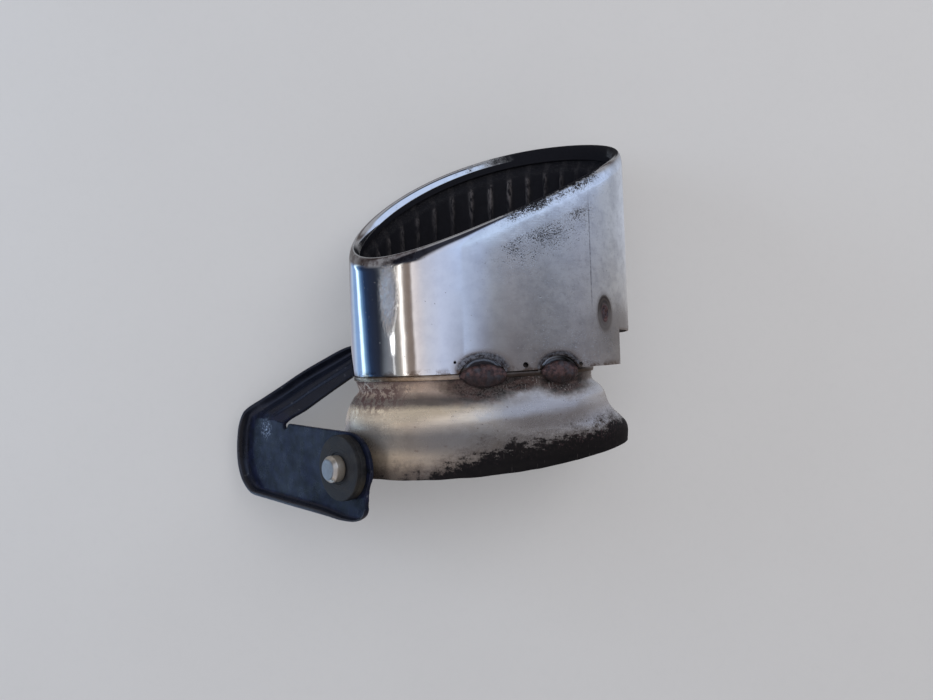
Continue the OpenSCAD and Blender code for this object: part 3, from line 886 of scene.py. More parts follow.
# --------------------------------------------------------------------------
# Materials
# --------------------------------------------------------------------------
def chrome_material():
    mat = Material("chrome_shell")
    x, y = mat.x, mat.y
    drop, height, turn = mat.attr("du"), mat.attr("hb"), mat.attr("pa")
    big = mat.noise(0.035)
    med = mat.noise(0.16, detail=5)
    fine = mat.noise(1.0, detail=5, rough=0.7)
    front = mat.z.rise(-6, 6)
    right = (x + big.swing(50)).rise(-22, 34)
    # haze: mirror-like at the left end, dulled to the right
    haze = right * (med + fine * 0.35).rise(0.40, 0.85)
    smear = right * mat.noise(0.33, detail=5, rough=0.75, shift=(17, 3, 9)).rise(0.50, 0.68)
    # density of black pits: a belt under the rim, the lip, and thinly over the right half
    belt = drop.band((-42, -17), (-14, -9.5))
    belt = belt * (x.rise(-20, 16) * (1 - x.rise(43, 50) * 0.62))
    lip = drop.rise(-8.5, -2.5) * x.rise(-10, 18) * x.fall(46, 56)
    spread = x.rise(-12, 26) * 0.36
    low = x.rise(2, 26) * height.fall(10, 34) * 0.56
    left = mat.blob((-43, 40, 32), (8, 22, 16), soft=0.5) * 0.26
    density = mat.max(mat.max(belt * 0.98, lip * 1.35), mat.max(spread, low, left))
    patch = (mat.noise(0.10, detail=3, shift=(3, 11, 7)) * 0.7
             + mat.noise(0.42, rough=0.7) * 0.4).rise(0.44, 0.66)
    density = density * mat.lerp(0.42, 1.0, patch)
    rear = (1 - front) * turn.band((55, 80), (172, 178))
    rear = rear * x.rise(-45, 22).lerp(0.42, 1.0)
    density = mat.max(density, rear * x.rise(-20, 18).lerp(med.rise(0.42, 0.62), 1.0))
    speck = (mat.noise(1.35, rough=0.8) * 0.55
             + mat.noise(3.0, detail=2, shift=(3, 9, 4)) * 0.55)
    pits = (speck - (0.735 - density * 0.215)).rise(0.0, 0.035)
    few = mat.noise(0.7, detail=2, rough=0.5, shift=(31, 7, 3)).rise(0.735, 0.755)
    pits = mat.max(pits, few * 0.75)
    # soot in the rim: past the crest at the front, to the right at the rear
    ragged = fine * 0.6 + mat.noise(1.5, rough=0.8) * 0.4
    spill = x.band((-8, 16), (44, 58)) * 26
    front_soot = front * (turn + spill + ragged.swing(24 + spill * 3.2)).rise(78, 88)
    rear_soot = (1 - front) * ((x + med.swing(40)).rise(-12, 20) * turn.rise(30, 60))
    rear_crest = (1 - front) * (turn.rise(22, 42) * (turn + fine.swing(26)).fall(96, 108))
    rear_crest = rear_crest * x.rise(-58, -40)
    ends = x.rise(58, 65) * turn.rise(50, 75)
    soot = mat.max(mat.max(front_soot, rear_soot),
                   mat.max(rear_crest, ends, turn.rise(176, 180)))
    # heat rings and dirt round the beads, the hanger's foot and the plug welds
    warp = mat.noise(0.25)
    wobble = warp.swing(0.16)
    beads = bead_distance(mat, [((WELD_X[0], -1.0, 44), (12.9, 9.0, 12)),
                                ((WELD_X[1], -1.0, 40), (11.9, 8.8, 12))], wobble)
    beads = mat.min(beads, mat.distance((-51, 17, -32), (17, 20, 12)) + wobble)
    plugs = mat.min(*(mat.distance((PLUG_X, PLUG_Y, z), (4.6, 8.8, 7)) + wobble * 0.55
                      for z in (29, -29)))
    # plating colour, hazed and smeared
    col = med.rise(0.35, 0.7).tint((0.80, 0.81, 0.83), (0.73, 0.74, 0.77))
    cloud = (big * 0.6 + med * 0.5).rise(0.42, 0.68)
    col = (haze * cloud * 0.55).tint(col, (0.55, 0.555, 0.58))
    col = (smear * 0.30).tint(col, (0.36, 0.36, 0.39))
    bead_tint = beads.ramp([
        (0.0, (0.050, 0.036, 0.032)), (0.78, (0.050, 0.040, 0.038)), (0.815, (0.12, 0.115, 0.12)),
        (0.845, (0.055, 0.045, 0.042)), (0.90, (0.17, 0.14, 0.125)), (0.96, (0.34, 0.29, 0.26)),
        (1.0, (0.52, 0.48, 0.46))])
    grime = (fine * 0.6 + warp * 0.5).rise(0.42, 0.66).lerp(0.70, 1.0)
    col = (beads.fall(0.86, 1.20) * grime).tint(col, bead_tint)
    plug_tint = plugs.ramp([
        (0.0, (0.13, 0.075, 0.055)), (0.50, (0.10, 0.065, 0.052)), (0.62, (0.035, 0.030, 0.030)),
        (0.74, (0.15, 0.12, 0.10)), (0.84, (0.06, 0.050, 0.046)), (0.93, (0.22, 0.19, 0.165)),
        (1.0, (0.46, 0.44, 0.43))])
    col = plugs.fall(0.90, 1.25).tint(col, plug_tint)
    # rust bloom along the base edge, and a dull patch low on the right
    edge = height.fall(0.2, 3.4) * (med + fine * 0.3).rise(0.58, 0.72)
    col = (edge * 0.75).tint(col, (0.20, 0.135, 0.095))
    low_right = mat.blob((60, 17, 20), (16, 11, 30), soft=0.6, warp=warp, amount=1.0) * 0.7
    col = low_right.tint(col, (0.36, 0.33, 0.31))
    dull = mat.max(beads.fall(0.85, 1.05), plugs.fall(0.85, 1.2))
    black = mat.max(pits, soot)
    # painted dark reflection on the roll of the rim at the left end
    rim_roll_dark_reflection = (front * turn.band((8, 26), (68, 80))
                * (mat.noise(0.22).rise(0.42, 0.60).lerp(0.52, 1.0) * x.fall(-36, -20)))
    col = (rim_roll_dark_reflection * 0.88).tint(col, (0.17, 0.140, 0.145))
    col = black.tint(col, fine.tint((0.003, 0.003, 0.005), (0.009, 0.009, 0.012)))
    rough = haze.lerp(0.035, 0.13)
    rough = rough + mat.noise(0.6, detail=5, rough=0.7).rise(0.5, 0.8) * 0.04
    rough = mat.max(dull, low_right).lerp(rough, 0.38)
    rough = black.lerp(rough, 0.60)
    # relief: brushing lines and ripple of the sheet
    lines = mat.noise(1.0, detail=3, stretch=(7, 0.05, 7))
    across = mat.noise(1.0, detail=3, stretch=(0.08, 5, 0.08))
    relief = lines * 0.05 + right * across * 0.10
    relief = relief + mat.noise(0.045, detail=2, rough=0.5) * 2.2
    relief = relief + right * mat.noise(0.7) * 0.16
    # orange-peel dents at the left end break up the reflections
    peel = front * mat.blob((-47.6, 35, 31.5), (3.6, 14, 9), soft=0.55)
    relief = relief + peel * mat.noise(0.62, detail=3, rough=0.75).swing(19.0)
    relief = relief - pits * 0.45
    # crease along Y on the right of the front
    crease = (abs(x - 45).fall(0.10, 0.42) * front
              * (y.rise(24, 32) * (y * -1).rise(-82, -70)))
    relief = relief - crease * 0.35
    # painted shade along the crease, patchy
    crease_shade_amount = mat.noise(0.5, detail=3).rise(0.4, 0.6).lerp(0.3, 0.75)
    col = (crease * crease_shade_amount).tint(col, (0.16, 0.165, 0.19))
    return mat.finish(col, rough, black.lerp(1.0, 0.0), relief, depth=0.10, strength=0.5,
                      spec=black.lerp(0.5, 0.12))


def liner_material():
    mat = Material("sooted_liner")
    rib, drop = mat.attr("rib"), mat.attr("du")
    med = mat.noise(0.25, detail=5, rough=0.65)
    fine = mat.noise(1.6)
    streak = mat.noise(1.0, rough=0.65, stretch=(0.7, 0.22, 0.7))
    col = med.tint((0.0035, 0.0035, 0.005), (0.010, 0.010, 0.013))
    # the ribs carry painted highlights along their crests, partly wear, from a wavering line
    # downwards, most at the rear
    start = -15.5 + mat.noise(0.09, detail=2, rough=0.5).swing(9)
    along = (drop - start).rise(2.0, -1.5) * (drop - start).rise(-24, -4)
    highlight_and_wear = rib.rise(-0.05, 0.95) * along * streak.rise(0.36, 0.62)
    peak = mat.blob((12, 60, -38), (17, 60, 22), soft=0.8).lerp(0.32, 1.0)
    highlight_and_wear = highlight_and_wear * peak * mat.x.fall(36, 56)
    # faint painted sheen along every rib
    faint_rib_sheen = rib.rise(0.02, 0.6) * 0.10 * streak.rise(0.3, 0.7)
    highlight_and_wear = mat.max(highlight_and_wear, faint_rib_sheen)
    col = highlight_and_wear.tint(col, fine.tint((0.085, 0.075, 0.077), (0.18, 0.165, 0.17)))
    top_band = drop.rise(-16.5, -14.5) * fine.rise(0.5, 0.7)
    col = (top_band * 0.35).tint(col, (0.06, 0.058, 0.06))
    return mat.finish(col, highlight_and_wear.lerp(0.80, 0.55), highlight_and_wear * 0.3, med * 1.0 + fine * 0.5,
                      depth=0.20, strength=0.7, spec=0.12)


def collar_material():
    mat = Material("heat_tinted_collar")
    x = mat.x
    down, inside = mat.attr("fr"), mat.attr("inside")
    med = mat.noise(0.14, detail=5, rough=0.62)
    mottle = mat.noise(0.34, rough=0.65, stretch=(0.55, 1.3, 0.55))
    fine = mat.noise(1.3, detail=5, rough=0.72)
    brush = mat.noise(1.0, rough=0.65, stretch=(0.09, 2.6, 0.09))
    scratch = mat.noise(1.0, detail=2, stretch=(3.4, 0.10, 3.4), turn=-38)
    wavy_x = x + med.swing(30)
    gold = wavy_x.fall(-26, 12)
    silver = wavy_x.rise(-6, 16)
    wavy_down = down + mottle.swing(0.05)
    col = brush.tint((0.40, 0.385, 0.38), (0.60, 0.585, 0.58))
    # straw and bronze heat tint at the left, in bands that follow the section; the bands also
    # hold painted reflections: a dark band where the hollow of the neck reflects dark, and a
    # bright painted highlight on the shoulder
    heat_tint_and_painted_shading = wavy_down.ramp([
        (0.0, (0.15, 0.10, 0.08)), (0.035, (0.38, 0.27, 0.20)), (0.12, (0.46, 0.34, 0.26)),
        (0.19, (0.15, 0.115, 0.095)), (0.24, (0.20, 0.160, 0.130)), (0.30, (0.84, 0.68, 0.49)),
        (0.38, (0.80, 0.65, 0.48)), (0.47, (0.40, 0.34, 0.28)), (0.56, (0.20, 0.18, 0.165)),
        (0.66, (0.22, 0.19, 0.165)), (0.76, (0.40, 0.32, 0.24)), (0.84, (0.30, 0.235, 0.175)),
        (0.92, (0.13, 0.102, 0.080)), (1.0, (0.06, 0.050, 0.042))])
    col = (gold * 0.92).tint(col, heat_tint_and_painted_shading)
    # bare grey steel at the right, with the shoulder's highlight painted in as a bright band, and
    # a duller rubbed belt
    steel_tone_and_painted_shading = wavy_down.ramp([
        (0.0, (0.14, 0.115, 0.105)), (0.09, (0.22, 0.19, 0.18)), (0.17, (0.44, 0.42, 0.42)),
        (0.30, (0.56, 0.54, 0.55)), (0.42, (0.40, 0.375, 0.38)), (0.54, (0.38, 0.355, 0.36)),
        (0.66, (0.50, 0.475, 0.47)), (0.80, (0.36, 0.33, 0.32)), (1.0, (0.25, 0.22, 0.21))])
    col = (silver * 0.85).tint(col, steel_tone_and_painted_shading)
    rub = mat.blob((22, -20, 42), (24, 6.5, 30), soft=0.35, warp=med, amount=0.9) * 0.45
    col = rub.tint(col, (0.23, 0.215, 0.22))
    dim = mat.blob((-16, -32, 42), (26, 6.5, 30), soft=0.5, warp=med, amount=0.8) * 0.5
    col = dim.tint(col, (0.13, 0.115, 0.105))
    col = (brush.rise(0.52, 0.70) * 0.30).tint(col, (0.16, 0.145, 0.14))
    # rust at the upper left, and a few spots all over
    left = mat.blob((-56, -9, 24), (17, 11, 30), soft=0.6, warp=med, amount=0.9)
    rust = left * (mat.noise(0.34, detail=5, rough=0.75, shift=(5, 2, 5)) * 0.8
                   + fine * 0.2).rise(0.475, 0.515)
    col = (rust * 0.9).tint(col, (0.060, 0.026, 0.024))
    few = mat.noise(0.55, detail=3, shift=(9, 40, 3)).rise(0.66, 0.72) * 0.7
    col = few.tint(col, (0.10, 0.06, 0.05))
    # soot thrown down from the welds: centre, radii, softness, raggedness
    warp = mat.noise(0.30, detail=5, rough=0.7) * 0.6 + fine * 0.4
    clouds = [
        ((-7, -7.5, 42), (19, 8.2, 20), 0.4, 1.1), ((8, -6.0, 42), (14, 5.6, 20), 0.4, 1.2),
        ((-10, -12.5, 42), (22, 4.2, 20), 0.8, 1.6), ((31, -6.0, 36), (15, 7.4, 20), 0.4, 1.1),
        ((-2, -7.0, -42), (22, 7.5, 20), 0.5, 1.3), ((33, -6.0, -36), (15, 7.0, 20), 0.5, 1.3)]
    left_a, left_b, below, right, rear_left, rear_right = (
        mat.blob(centre, radii, soft, warp, amount) for centre, radii, soft, amount in clouds)
    soot = mat.max(mat.max(mat.max(left_a, left_b), below * 0.7),
                   mat.max(right, mat.max(rear_left, rear_right)))
    soot = soot * fine.rise(0.35, 0.62).lerp(0.86, 1.0)
    soot_colour = mottle.rise(0.35, 0.65).tint((0.009, 0.007, 0.007), (0.058, 0.036, 0.033))
    col = soot.tint(col, soot_colour)
    # burnt black band along the inlet edge, ragged at the top, thin at the left
    start = 0.985 - x.rise(-44, 6) * 0.295
    start = start - x.rise(30, 62) * 0.05
    ragged = med.swing(0.34) + (mottle.swing(0.34) + fine.swing(0.26))
    depth = down - start + ragged
    burn = depth.rise(-0.03, 0.06)
    haze = depth.rise(-0.17, 0.03) * 0.62
    spot = ((down - (start - 0.26)).rise(0, 0.16)
            * mat.noise(0.8, detail=5, rough=0.8).rise(0.54, 0.62))
    burn = mat.max(burn, spot * x.rise(10, 46).lerp(0.25, 0.95))
    wipe = mat.noise(1.0, detail=2, rough=0.5, stretch=(2.2, 0.06, 2.2), turn=24)
    burn = burn * (1 - wipe.rise(0.70, 0.76) * 0.30)
    col = haze.tint(col, (0.085, 0.062, 0.052))
    col = burn.tint(col, mottle.tint((0.003, 0.003, 0.004), (0.012, 0.010, 0.010)))
    # brown flecks along the top of the burnt band and at the right end
    fleck = (mat.noise(0.75, detail=5, rough=0.8, shift=(4, 7, 2)).rise(0.52, 0.60)
             * x.rise(8, 44).lerp(0.22, 0.75))
    brim = mat.max(depth.fall(0.07, 0.20), x.rise(40, 62) * 0.35)
    col = (burn * fleck * brim).tint(col, (0.052, 0.033, 0.036))
    line = scratch.rise(0.655, 0.70) * ((1 - burn) * (x.rise(-10, 20) * 0.5))
    col = line.tint(col, (0.70, 0.68, 0.68))
    col = (inside * 0.85).tint(col, med.tint((0.03, 0.028, 0.03), (0.10, 0.085, 0.075)))
    rough = med.rise(0.3, 0.7).lerp(0.20, 0.32)
    rough = burn.lerp(rough, 0.62)
    rough = soot.lerp(rough, 0.50)
    rough = rust.lerp(rough, 0.70)
    dirt = mat.max(burn, soot, rust)
    metal = mat.max(burn, rust, soot * 0.8).lerp(1.0, 0.0) * gold.lerp(0.74, 0.52)
    relief = brush * 0.30 + scratch * 0.10
    relief = relief + dirt * fine * 0.9
    relief = relief + med * 0.5
    return mat.finish(col, rough, metal, relief, depth=0.12, strength=0.5,
                      spec=mat.max(burn, soot).lerp(0.4, 0.08))


def ring_material():
    mat = Material("base_ring_bronze")
    med = mat.noise(0.18, detail=5)
    fine = mat.noise(1.2)
    col = med.rise(0.35, 0.65).tint((0.36, 0.25, 0.17), (0.55, 0.44, 0.33))
    right = (mat.x + med.swing(14)).rise(-22, -12)
    col = (right * 0.85).tint(col, (0.07, 0.055, 0.05))
    rust = (med * 0.5 + fine * 0.5).rise(0.58, 0.66)
    col = (rust * 0.7).tint(col, (0.12, 0.06, 0.045))
    # heat rings seen through the scallops: dark by the bead, silvery blue above
    beads = bead_distance(mat, [((WELD_X[0], -1.0, 41), (11.4, 7.6, 14)),
                                ((WELD_X[1], -1.4, 36), (10.6, 7.6, 14))])
    rings = (beads + med.swing(0.14)).ramp([
        (0.0, (0.05, 0.04, 0.04)), (0.56, (0.05, 0.042, 0.042)), (0.64, (0.33, 0.36, 0.39)),
        (0.70, (0.16, 0.15, 0.16)), (0.76, (0.62, 0.68, 0.74)), (0.86, (0.52, 0.56, 0.60)),
        (0.93, (0.16, 0.14, 0.14)), (1.0, (0.05, 0.045, 0.045))])
    upper = mat.y.rise(0.2, 1.4)
    col = upper.tint(col, rings)
    rough = upper.lerp(rust.lerp(0.34, 0.7), 0.42)
    return mat.finish(col, rough, rust.lerp(1.0, 0.4), fine + med, depth=0.12, strength=0.6)


def weld_material():
    mat = Material("weld_metal")
    med = mat.noise(0.5, detail=5, rough=0.65)
    fine = mat.noise(2.4, rough=0.7)
    col = med.rise(0.34, 0.66).tint((0.030, 0.022, 0.024), (0.125, 0.070, 0.066))
    col = (fine.rise(0.60, 0.72) * 0.45).tint(col, (0.26, 0.18, 0.16))
    blue = mat.noise(0.30, detail=3, rough=0.5, shift=(5, 9, 2)).rise(0.50, 0.66)
    col = (blue * 0.55).tint(col, (0.075, 0.080, 0.095))
    low = mat.y.fall(-5.5, -2.0) * 0.7
    col = low.tint(col, (0.022, 0.017, 0.017))
    return mat.finish(col, fine.rise(0.4, 0.7).lerp(0.34, 0.66), 0.6,
                      med * 1.6 + fine * 0.6, depth=0.30, strength=0.9)


def along_axis(mat):
    """Offset from the hub, and height along the isolator's axis."""
    offset = mat.add("VectorMath", {0: mat.place, 1: tuple(HUB)}, operation="SUBTRACT")
    height = mat.add("VectorMath", {0: offset, 1: tuple(AXIS)}, "Value",
                     operation="DOT_PRODUCT")
    return offset, height


def polar(mat):
    """Radius from and height along the isolator's axis."""
    offset, height = along_axis(mat)
    length = mat.add("VectorMath", {0: offset}, "Value", operation="LENGTH")
    squared = length * length - height * height
    return mat.math("SQRT", mat.max(squared, 0.0)), height


def bracket_material():
    mat = Material("black_coating")
    height = along_axis(mat)[1]
    med = mat.noise(0.12, detail=5)
    fine = mat.noise(1.2, detail=5, rough=0.7)
    swirl = mat.noise(1.0, detail=3, distortion=0.6, stretch=(0.5, 2.2, 0.5), turn=64)
    cloud = mat.noise(0.20, shift=(8, 2, 5))
    wide = mat.noise(0.055, detail=3, rough=0.55, shift=(3, 6, 1))
    scuff = swirl.rise(0.52, 0.72) * med.rise(0.38, 0.60)
    plate = height.fall(0.3, 1.0) * mat.y.fall(-24, -16)
    col = med.tint((0.0035, 0.0045, 0.008), (0.008, 0.010, 0.018))
    col = (plate * cloud.rise(0.34, 0.66)).tint(col, (0.008, 0.0102, 0.027))
    col = (scuff * plate.lerp(0.18, 0.34)).tint(col, (0.036, 0.043, 0.080))
    flange = height.rise(1.6, 3.6) * mat.y.fall(-26, -18)
    col = (flange * 0.75).tint(col, (0.030, 0.029, 0.033))
    # a painted highlight with some scuffing at the bend at the far left, painted highlights along
    # the edges that are partly wear, then scratches and dust
    bend_highlight_and_scuff = mat.blob((-118.5, -28.2, -23.5), (4.2, 4.6, 5), soft=0.6, warp=cloud, amount=1.2)
    bend_highlight_and_scuff = bend_highlight_and_scuff * mat.noise(0.9, rough=0.7).rise(0.50, 0.60) * 0.9
    col = bend_highlight_and_scuff.tint(col, (0.26, 0.32, 0.44))
    pointiness = mat.add("NewGeometry", output="Pointiness")
    # painted highlight along the sharp edges, partly wear
    highlight_and_wear = pointiness.rise(0.525, 0.575) * cloud.rise(0.36, 0.60)
    col = (highlight_and_wear * 0.40).tint(col, (0.12, 0.125, 0.14))
    scratch = mat.noise(1.0, detail=2, rough=0.5, stretch=(2.6, 0.10, 2.6), turn=38)
    col = (scratch.rise(0.68, 0.73) * 0.20).tint(col, (0.12, 0.13, 0.15))
    dust = mat.noise(2.6, detail=3).rise(0.62, 0.72)
    col = (dust * 0.12).tint(col, (0.10, 0.10, 0.10))
    rough = scuff.lerp(med.rise(0.35, 0.7).lerp(0.26, 0.38), 0.50)
    relief = fine * 0.5 + mat.noise(0.35, detail=3, rough=0.5) * 1.2
    plate_shine = (wide * 0.75 + cloud * 0.25).rise(0.36, 0.62).lerp(0.08, 0.24)
    inputs = mat.shader.inputs
    inputs["Specular Tint"].default_value = (0.78, 0.82, 1.0, 1.0)
    inputs["Coat Weight"].default_value = 0.05
    inputs["Coat Roughness"].default_value = 0.22
    return mat.finish(col, rough, 0.0, relief, depth=0.08, strength=0.5,
                      spec=plate.lerp(0.45, plate_shine))


def rubber_material():
    mat = Material("isolator_rubber")
    radius = polar(mat)[0]
    med = mat.noise(0.22, detail=5)
    fine = mat.noise(1.8, rough=0.65)
    col = med.tint((0.013, 0.0135, 0.017), (0.028, 0.028, 0.030))
    # dark round the edge, brownish at its lower right
    side = radius.rise(13.6, 14.6) * mat.y.rise(-44, -56)
    side = side * mat.x.rise(-66, -58)
    col = (radius.rise(14.2, 14.8) * 0.85).tint(col, (0.006, 0.006, 0.007))
    col = (side * 0.65).tint(col, (0.095, 0.078, 0.050))
    dust = (fine * 0.6 + med * 0.5).rise(0.50, 0.70)
    col = (dust * 0.22).tint(col, (0.075, 0.072, 0.068))
    grooves = mat.math("SINE", radius * 5.2).rise(0.2, 1.0)
    relief = grooves * 0.25 + (fine * 0.5 + med * 0.6)
    return mat.finish(col, dust.lerp(0.55, 0.8), 0.0, relief, depth=0.14, strength=0.6,
                      spec=0.28)


def pin_material():
    mat = Material("turned_steel")
    radius, height = polar(mat)
    med = mat.noise(0.35)
    fine = mat.noise(2.2, rough=0.65)
    # turning marks: rings on the end face, grooves round the side
    rings = mat.math("SINE", radius * 26.0)
    grooves = mat.math("SINE", height * 30.0)
    relief = height.rise(10.4, 10.55).lerp(grooves, rings) * 0.12 + med * 0.8
    # warm light side: painted reflection of the brown collar; the end face below is grey
    col = med.tint((0.44, 0.385, 0.32), (0.66, 0.60, 0.52))
    end = height.rise(10.2, 10.5)
    col = end.tint(col, med.tint((0.22, 0.23, 0.25), (0.38, 0.39, 0.41)))
    spot = (fine * 0.6 + med * 0.5).rise(0.62, 0.72)
    col = (spot * 0.7).tint(col, (0.20, 0.14, 0.10))
    # darker towards the base: painted shade where the pin leaves the isolator
    col = (height.fall(5.1, 6.1) * 0.5).tint(col, (0.22, 0.17, 0.13))
    return mat.finish(col, spot.lerp(0.30, 0.55), end.lerp(0.80, 0.72), relief,
                      depth=0.06, strength=0.6)


def plate_material():
    mat = Material("sooted_plate")
    med = mat.noise(0.2, detail=5)
    fine = mat.noise(1.4, rough=0.65)
    col = med.tint((0.012, 0.011, 0.012), (0.045, 0.035, 0.030))
    return mat.finish(col, 0.72, 0.3, med + fine, depth=0.2, strength=0.7, spec=0.3)


def floor_material():
    mat = Material("pale_floor")
    col = mat.noise(0.010).tint((0.425, 0.420, 0.422), (0.452, 0.448, 0.450))
    patches = mat.noise(0.25, detail=3).rise(0.45, 0.75) * 0.12
    col = patches.tint(col, (0.38, 0.38, 0.385))
    mat.shader.inputs["Emission Color"].default_value = (1.0, 0.99, 1.0, 1.0)
    mat.shader.inputs["Emission Strength"].default_value = 0.13
    return mat.finish(col, 0.55, 0.0, mat.noise(0.6, detail=3), depth=0.05, strength=0.3,
                      spec=0.3)


# --------------------------------------------------------------------------
# Build the object
# --------------------------------------------------------------------------
CHROME = chrome_material()
LINER = liner_material()
COLLAR = collar_material()
RING = ring_material()
WELD = weld_material()
BRACKET = bracket_material()
RUBBER = rubber_material()
STEEL = pin_material()
PLATE = plate_material()


def paint(obj, material):
    obj.data.materials.clear()
    obj.data.materials.append(material)
    for polygon in obj.data.polygons:
        polygon.material_index = 0


def put(obj, material, replaced, body=BODY):
    paint(obj, material)
    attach(obj, body)
    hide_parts(replaced)


def put_weld(obj, replaced):
    put(obj, WELD, replaced)


put(shell(), CHROME, "outer_shell")
put(liner(), LINER, "inner_liner")
put(base_ring(), RING, "base_ring")
put(collar(), COLLAR, "inlet_collar")
for name, x, length, side, seed, replaced in (
        ("weld_bead_left_visual", WELD_X[0], 21, 1, 1, "weld_bead_left"),
        ("weld_bead_right_visual", WELD_X[1], 18.6, 1, 2, "weld_bead_right"),
        ("rear_weld_bead_a", WELD_X[0], 21, -1, 3, "rear_weld_beads"),
        ("rear_weld_bead_b", WELD_X[1], 18.6, -1, 4, "rear_weld_beads")):
    put_weld(weld_bead(name, x, length, side, seed), replaced)
put_weld(plug("plug_weld_front", side=1, seed=5), "plug_welds")
put_weld(plug("plug_weld_rear", side=-1, seed=6), "plug_welds")
put_weld(seam_weld(), "collar_seam_weld")
put(hanger(), BRACKET, "hanger_bracket")
put_weld(hanger_fillet("hanger_weld_lower", y=4.2), "hanger_welds")
put_weld(hanger_fillet("hanger_weld_upper", y=29.6), "hanger_welds")
put(revolve("rubber_isolator_visual", RUBBER_PROFILE), RUBBER, "rubber_isolator")
put(revolve("locating_pin_visual", PIN_PROFILE), STEEL, "locating_pin", PIN)

# pieces that keep their CAD shape
for name, material in (("support_plate", PLATE), ("liner_tack_welds", WELD),
                       ("isolator_sleeve", STEEL), ("rear_washer", STEEL)):
    paint(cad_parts[name], material)


# --------------------------------------------------------------------------
# Floor and lights, in metres
# --------------------------------------------------------------------------
def add_floor():
    half = 3.0
    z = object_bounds()[0][2] - 0.0001
    mesh = bpy.data.meshes.new("floor")
    corners = [(-half, -half, z), (half, -half, z), (half, half, z), (-half, half, z)]
    mesh.from_pydata(corners, [], [(0, 1, 2, 3)])
    floor = add_object("floor", mesh)
    mesh.materials.append(floor_material())
    floor.visible_glossy = False


def area(name, place, target, size, power, color):
    """Square lamp that reflections don't show."""
    light = bpy.data.lights.new(name, "AREA")
    light.shape = "RECTANGLE"
    light.size = size
    light.size_y = size
    light.energy = power
    light.color = color
    lamp = add_object(name, light)
    lamp.location = place
    aim = Vector(target) - Vector(place)
    lamp.rotation_euler = aim.to_track_quat("-Z", "Y").to_euler()
    lamp.visible_glossy = False


add_floor()
area("key", place=(0.75, 0.60, 1.00), target=(0, 0.05, 0), size=0.9, power=5.0,
     color=(1.0, 0.985, 0.955))
area("top", place=(0.05, 0.25, 1.5), target=(0, 0.05, 0), size=1.6, power=4.6,
     color=(0.99, 0.985, 0.995))
area("window", place=(-0.95, 0.30, 0.30), target=(-0.1, 0.06, 0), size=0.5, power=4.2,
     color=(0.62, 0.79, 1.0))

# --------------------------------------------------------------------------
# World: the room seen in reflections, by direction in degrees
# --------------------------------------------------------------------------
# angle round the Y axis, colour: 0 overhead, -90 the left horizon, +90 the right
ROOM_LEFT = [
    (-180, (0.50, 0.49, 0.50)), (-158, (0.40, 0.40, 0.45)), (-144, (0.37, 0.40, 0.52)),
    (-134, (0.47, 0.60, 0.80)), (-126, (0.26, 0.42, 0.72)), (-118, (0.28, 0.42, 0.72)),
    (-114.5, (1.2, 1.6, 1.9)), (-111, (1.2, 1.6, 1.9)), (-107.5, (0.24, 0.44, 0.68)),
    (-102, (0.07, 0.14, 0.30)), (-97, (0.024, 0.044, 0.095)), (-90, (0.022, 0.032, 0.062)),
    (-81, (0.023, 0.028, 0.045)), (-77.5, (0.05, 0.056, 0.070)), (-73, (0.15, 0.165, 0.19)),
    (-68, (0.24, 0.25, 0.275)), (-65, (0.25, 0.25, 0.26)), (-61, (0.28, 0.265, 0.245)),
    (-57.4, (0.46, 0.41, 0.37)), (-55.6, (1.7, 1.6, 1.5)), (-54.2, (1.7, 1.6, 1.5)),
    (-52.6, (0.42, 0.36, 0.32)), (-50, (0.27, 0.215, 0.185)), (-46.6, (0.25, 0.20, 0.175)),
    (-45.2, (0.90, 0.83, 0.82)), (-42, (0.76, 0.71, 0.73)), (-37, (0.66, 0.67, 0.76)),
    (-27, (0.60, 0.66, 0.84)), (-14, (0.50, 0.58, 0.77))]
ROOM_RIGHT = [
    (-14, (0.50, 0.58, 0.77)), (-4, (0.38, 0.43, 0.56)), (4, (0.31, 0.33, 0.38)),
    (12, (0.275, 0.28, 0.315)), (30, (0.245, 0.255, 0.29)), (43, (0.27, 0.285, 0.33)),
    (59, (0.29, 0.30, 0.345)), (79, (0.325, 0.33, 0.36)), (100, (0.37, 0.37, 0.385)),
    (125, (0.44, 0.44, 0.46)), (150, (0.46, 0.46, 0.48)), (180, (0.50, 0.49, 0.50))]
# tint from 12 degrees towards -Y (0) to 14 degrees towards +Y (1)
ROOM_TINT = [
    (0.0, (0.62, 0.56, 0.52)), (0.50, (0.62, 0.565, 0.53)), (0.60, (0.78, 0.75, 0.73)),
    (0.73, (1.0, 0.99, 0.98)), (0.90, (1.16, 1.22, 1.32)), (1.0, (1.2, 1.28, 1.4))]


def by_angle(angle, stops):
    low, high = stops[0][0], stops[-1][0]
    scaled = [((stop - low) / (high - low), colour) for stop, colour in stops]
    return ((angle - low) / (high - low)).ramp(scaled)


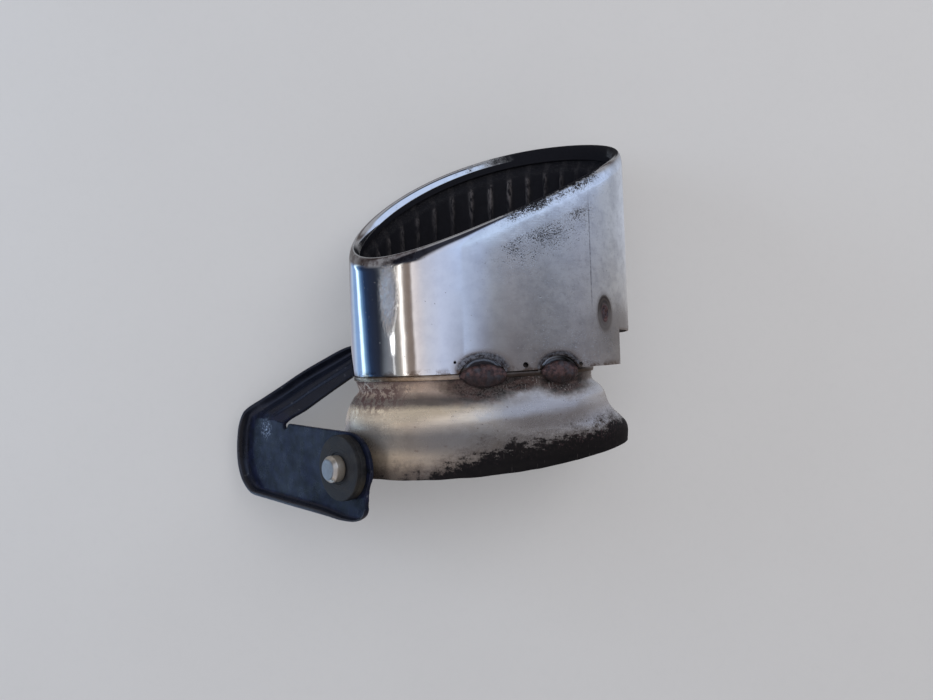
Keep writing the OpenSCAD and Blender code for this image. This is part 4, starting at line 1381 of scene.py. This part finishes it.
def room_colour(sky):
    dir_x, dir_y, dir_z = sky.axes(sky.add("TexCoord", output="Generated"))
    to_degrees = 180 / math.pi
    around = sky.math("ARCTAN2", dir_x, dir_z) * to_degrees
    elevation = sky.math("ARCSINE", dir_z) * to_degrees
    azimuth = sky.math("ARCTAN2", dir_y, dir_x) * to_degrees
    toward_y = sky.math("ARCSINE", dir_y) * to_degrees
    # the bands lean a little: the lamps that make them stand tilted
    lean = (toward_y - 5.5) * (0.27 + (around * -1).rise(72, 104) * 1.1)
    leaning = around + lean * toward_y.band((-14, -4), (12, 20))
    left = by_angle(leaning, ROOM_LEFT)
    right = by_angle(around, ROOM_RIGHT)
    # overhead and to the right it dims towards -Y and goes from bluish to neutral
    tint = ((toward_y + 12) / 26).ramp(ROOM_TINT)
    right = around.rise(-16, 2).tint(right, sky.colour(1.0, right, tint, "MULTIPLY"))
    left = around.rise(-30, -8).tint(left, sky.colour(1.0, left, tint, "MULTIPLY"))
    room = around.rise(-14.01, -13.99).tint(left, right)
    # a lamp at the left: a small hot spot with a streak below it
    spot = abs(leaning + 64.6).fall(0.3, 2.6) * abs(toward_y - 3.0).fall(0.2, 1.3)
    streak = abs(leaning + 64.6).fall(0.1, 0.9) * toward_y.band((-2.5, -0.5), (3.5, 5.5))
    lamp = spot.tint(streak.tint((0, 0, 0), (0.9, 0.9, 0.9)), (6.0, 6.0, 6.0))
    room = sky.colour(1.0, room, lamp, "ADD")
    # towards +Y and to the right the ceiling is a pale blue skylight
    edge = 11.7 + sky.max(around, -12) * 0.046
    skylight = ((toward_y - edge).rise(-0.9, 0.9) * around.rise(-24, -6)
                * (1 - around.rise(88, 112) * 0.75))
    room = skylight.tint(room, elevation.rise(35, 75).tint((0.60, 0.72, 0.97),
                                                           (0.61, 0.75, 1.0)))
    # towards +Y it drops to a dark wall, lower on the right than on the left
    limit = sky.min((azimuth - 28) * 0.55, 48)
    wall = (limit - elevation).rise(-6, 6) * azimuth.band((22, 50), (157, 166))
    wall_colour = elevation.rise(8, 16).tint((0.10, 0.085, 0.085), (0.030, 0.032, 0.045))
    wall_colour = elevation.band((-14, -4), (12, 20)).tint(wall_colour, (0.36, 0.36, 0.38))
    wall_colour = elevation.fall(-30, -16).tint(wall_colour, (0.30, 0.30, 0.31))
    return wall.tint(room, wall_colour)


def add_world():
    """Reflections see the room; all other light is an even grey."""
    world = bpy.data.worlds.new("studio")
    bpy.context.scene.world = world
    world.use_nodes = True
    sky = Graph(world.node_tree)
    room = room_colour(sky)
    reflected = sky.add("LightPath", output="Is Glossy Ray")
    light = sky.add("Background", {0: reflected.tint((0.53, 0.53, 0.55), room), 1: 1.0})
    output = sky.tree.nodes.new("ShaderNodeOutputWorld")
    sky.link(light, output.inputs[0])


def add_camera():
    """Looks down the short axis from about a third of a metre."""
    roll, tilt, pan = (math.radians(angle) for angle in (1.7632, -2.1287, 1.1705))
    distance = 337.0
    aim = np.array([12.14, -9.506, 0])          # sideways shift, in the camera's axes
    c, s = math.cos(roll), math.sin(roll)
    roll_turn = np.array([[c, -s, 0], [s, c, 0], [0, 0, 1]])
    c, s = math.cos(tilt), math.sin(tilt)
    tilt_turn = np.array([[1, 0, 0], [0, c, -s], [0, s, c]])
    to_scene = (tilt_turn @ turn_y(pan) @ roll_turn).T
    place = to_scene @ (np.array([0, 0, distance]) - aim) + SHELL_ORIGIN
    data = bpy.data.cameras.new("camera")
    data.sensor_width = 36.0
    data.lens = 26.0
    data.clip_start = 0.01
    camera = add_object("camera", data)
    pose = Matrix(to_scene.tolist()).to_4x4()
    pose.translation = Vector(place * MM)
    camera.matrix_world = pose
    bpy.context.scene.camera = camera


add_world()
add_camera()
bpy.context.scene.view_settings.view_transform = "Standard"
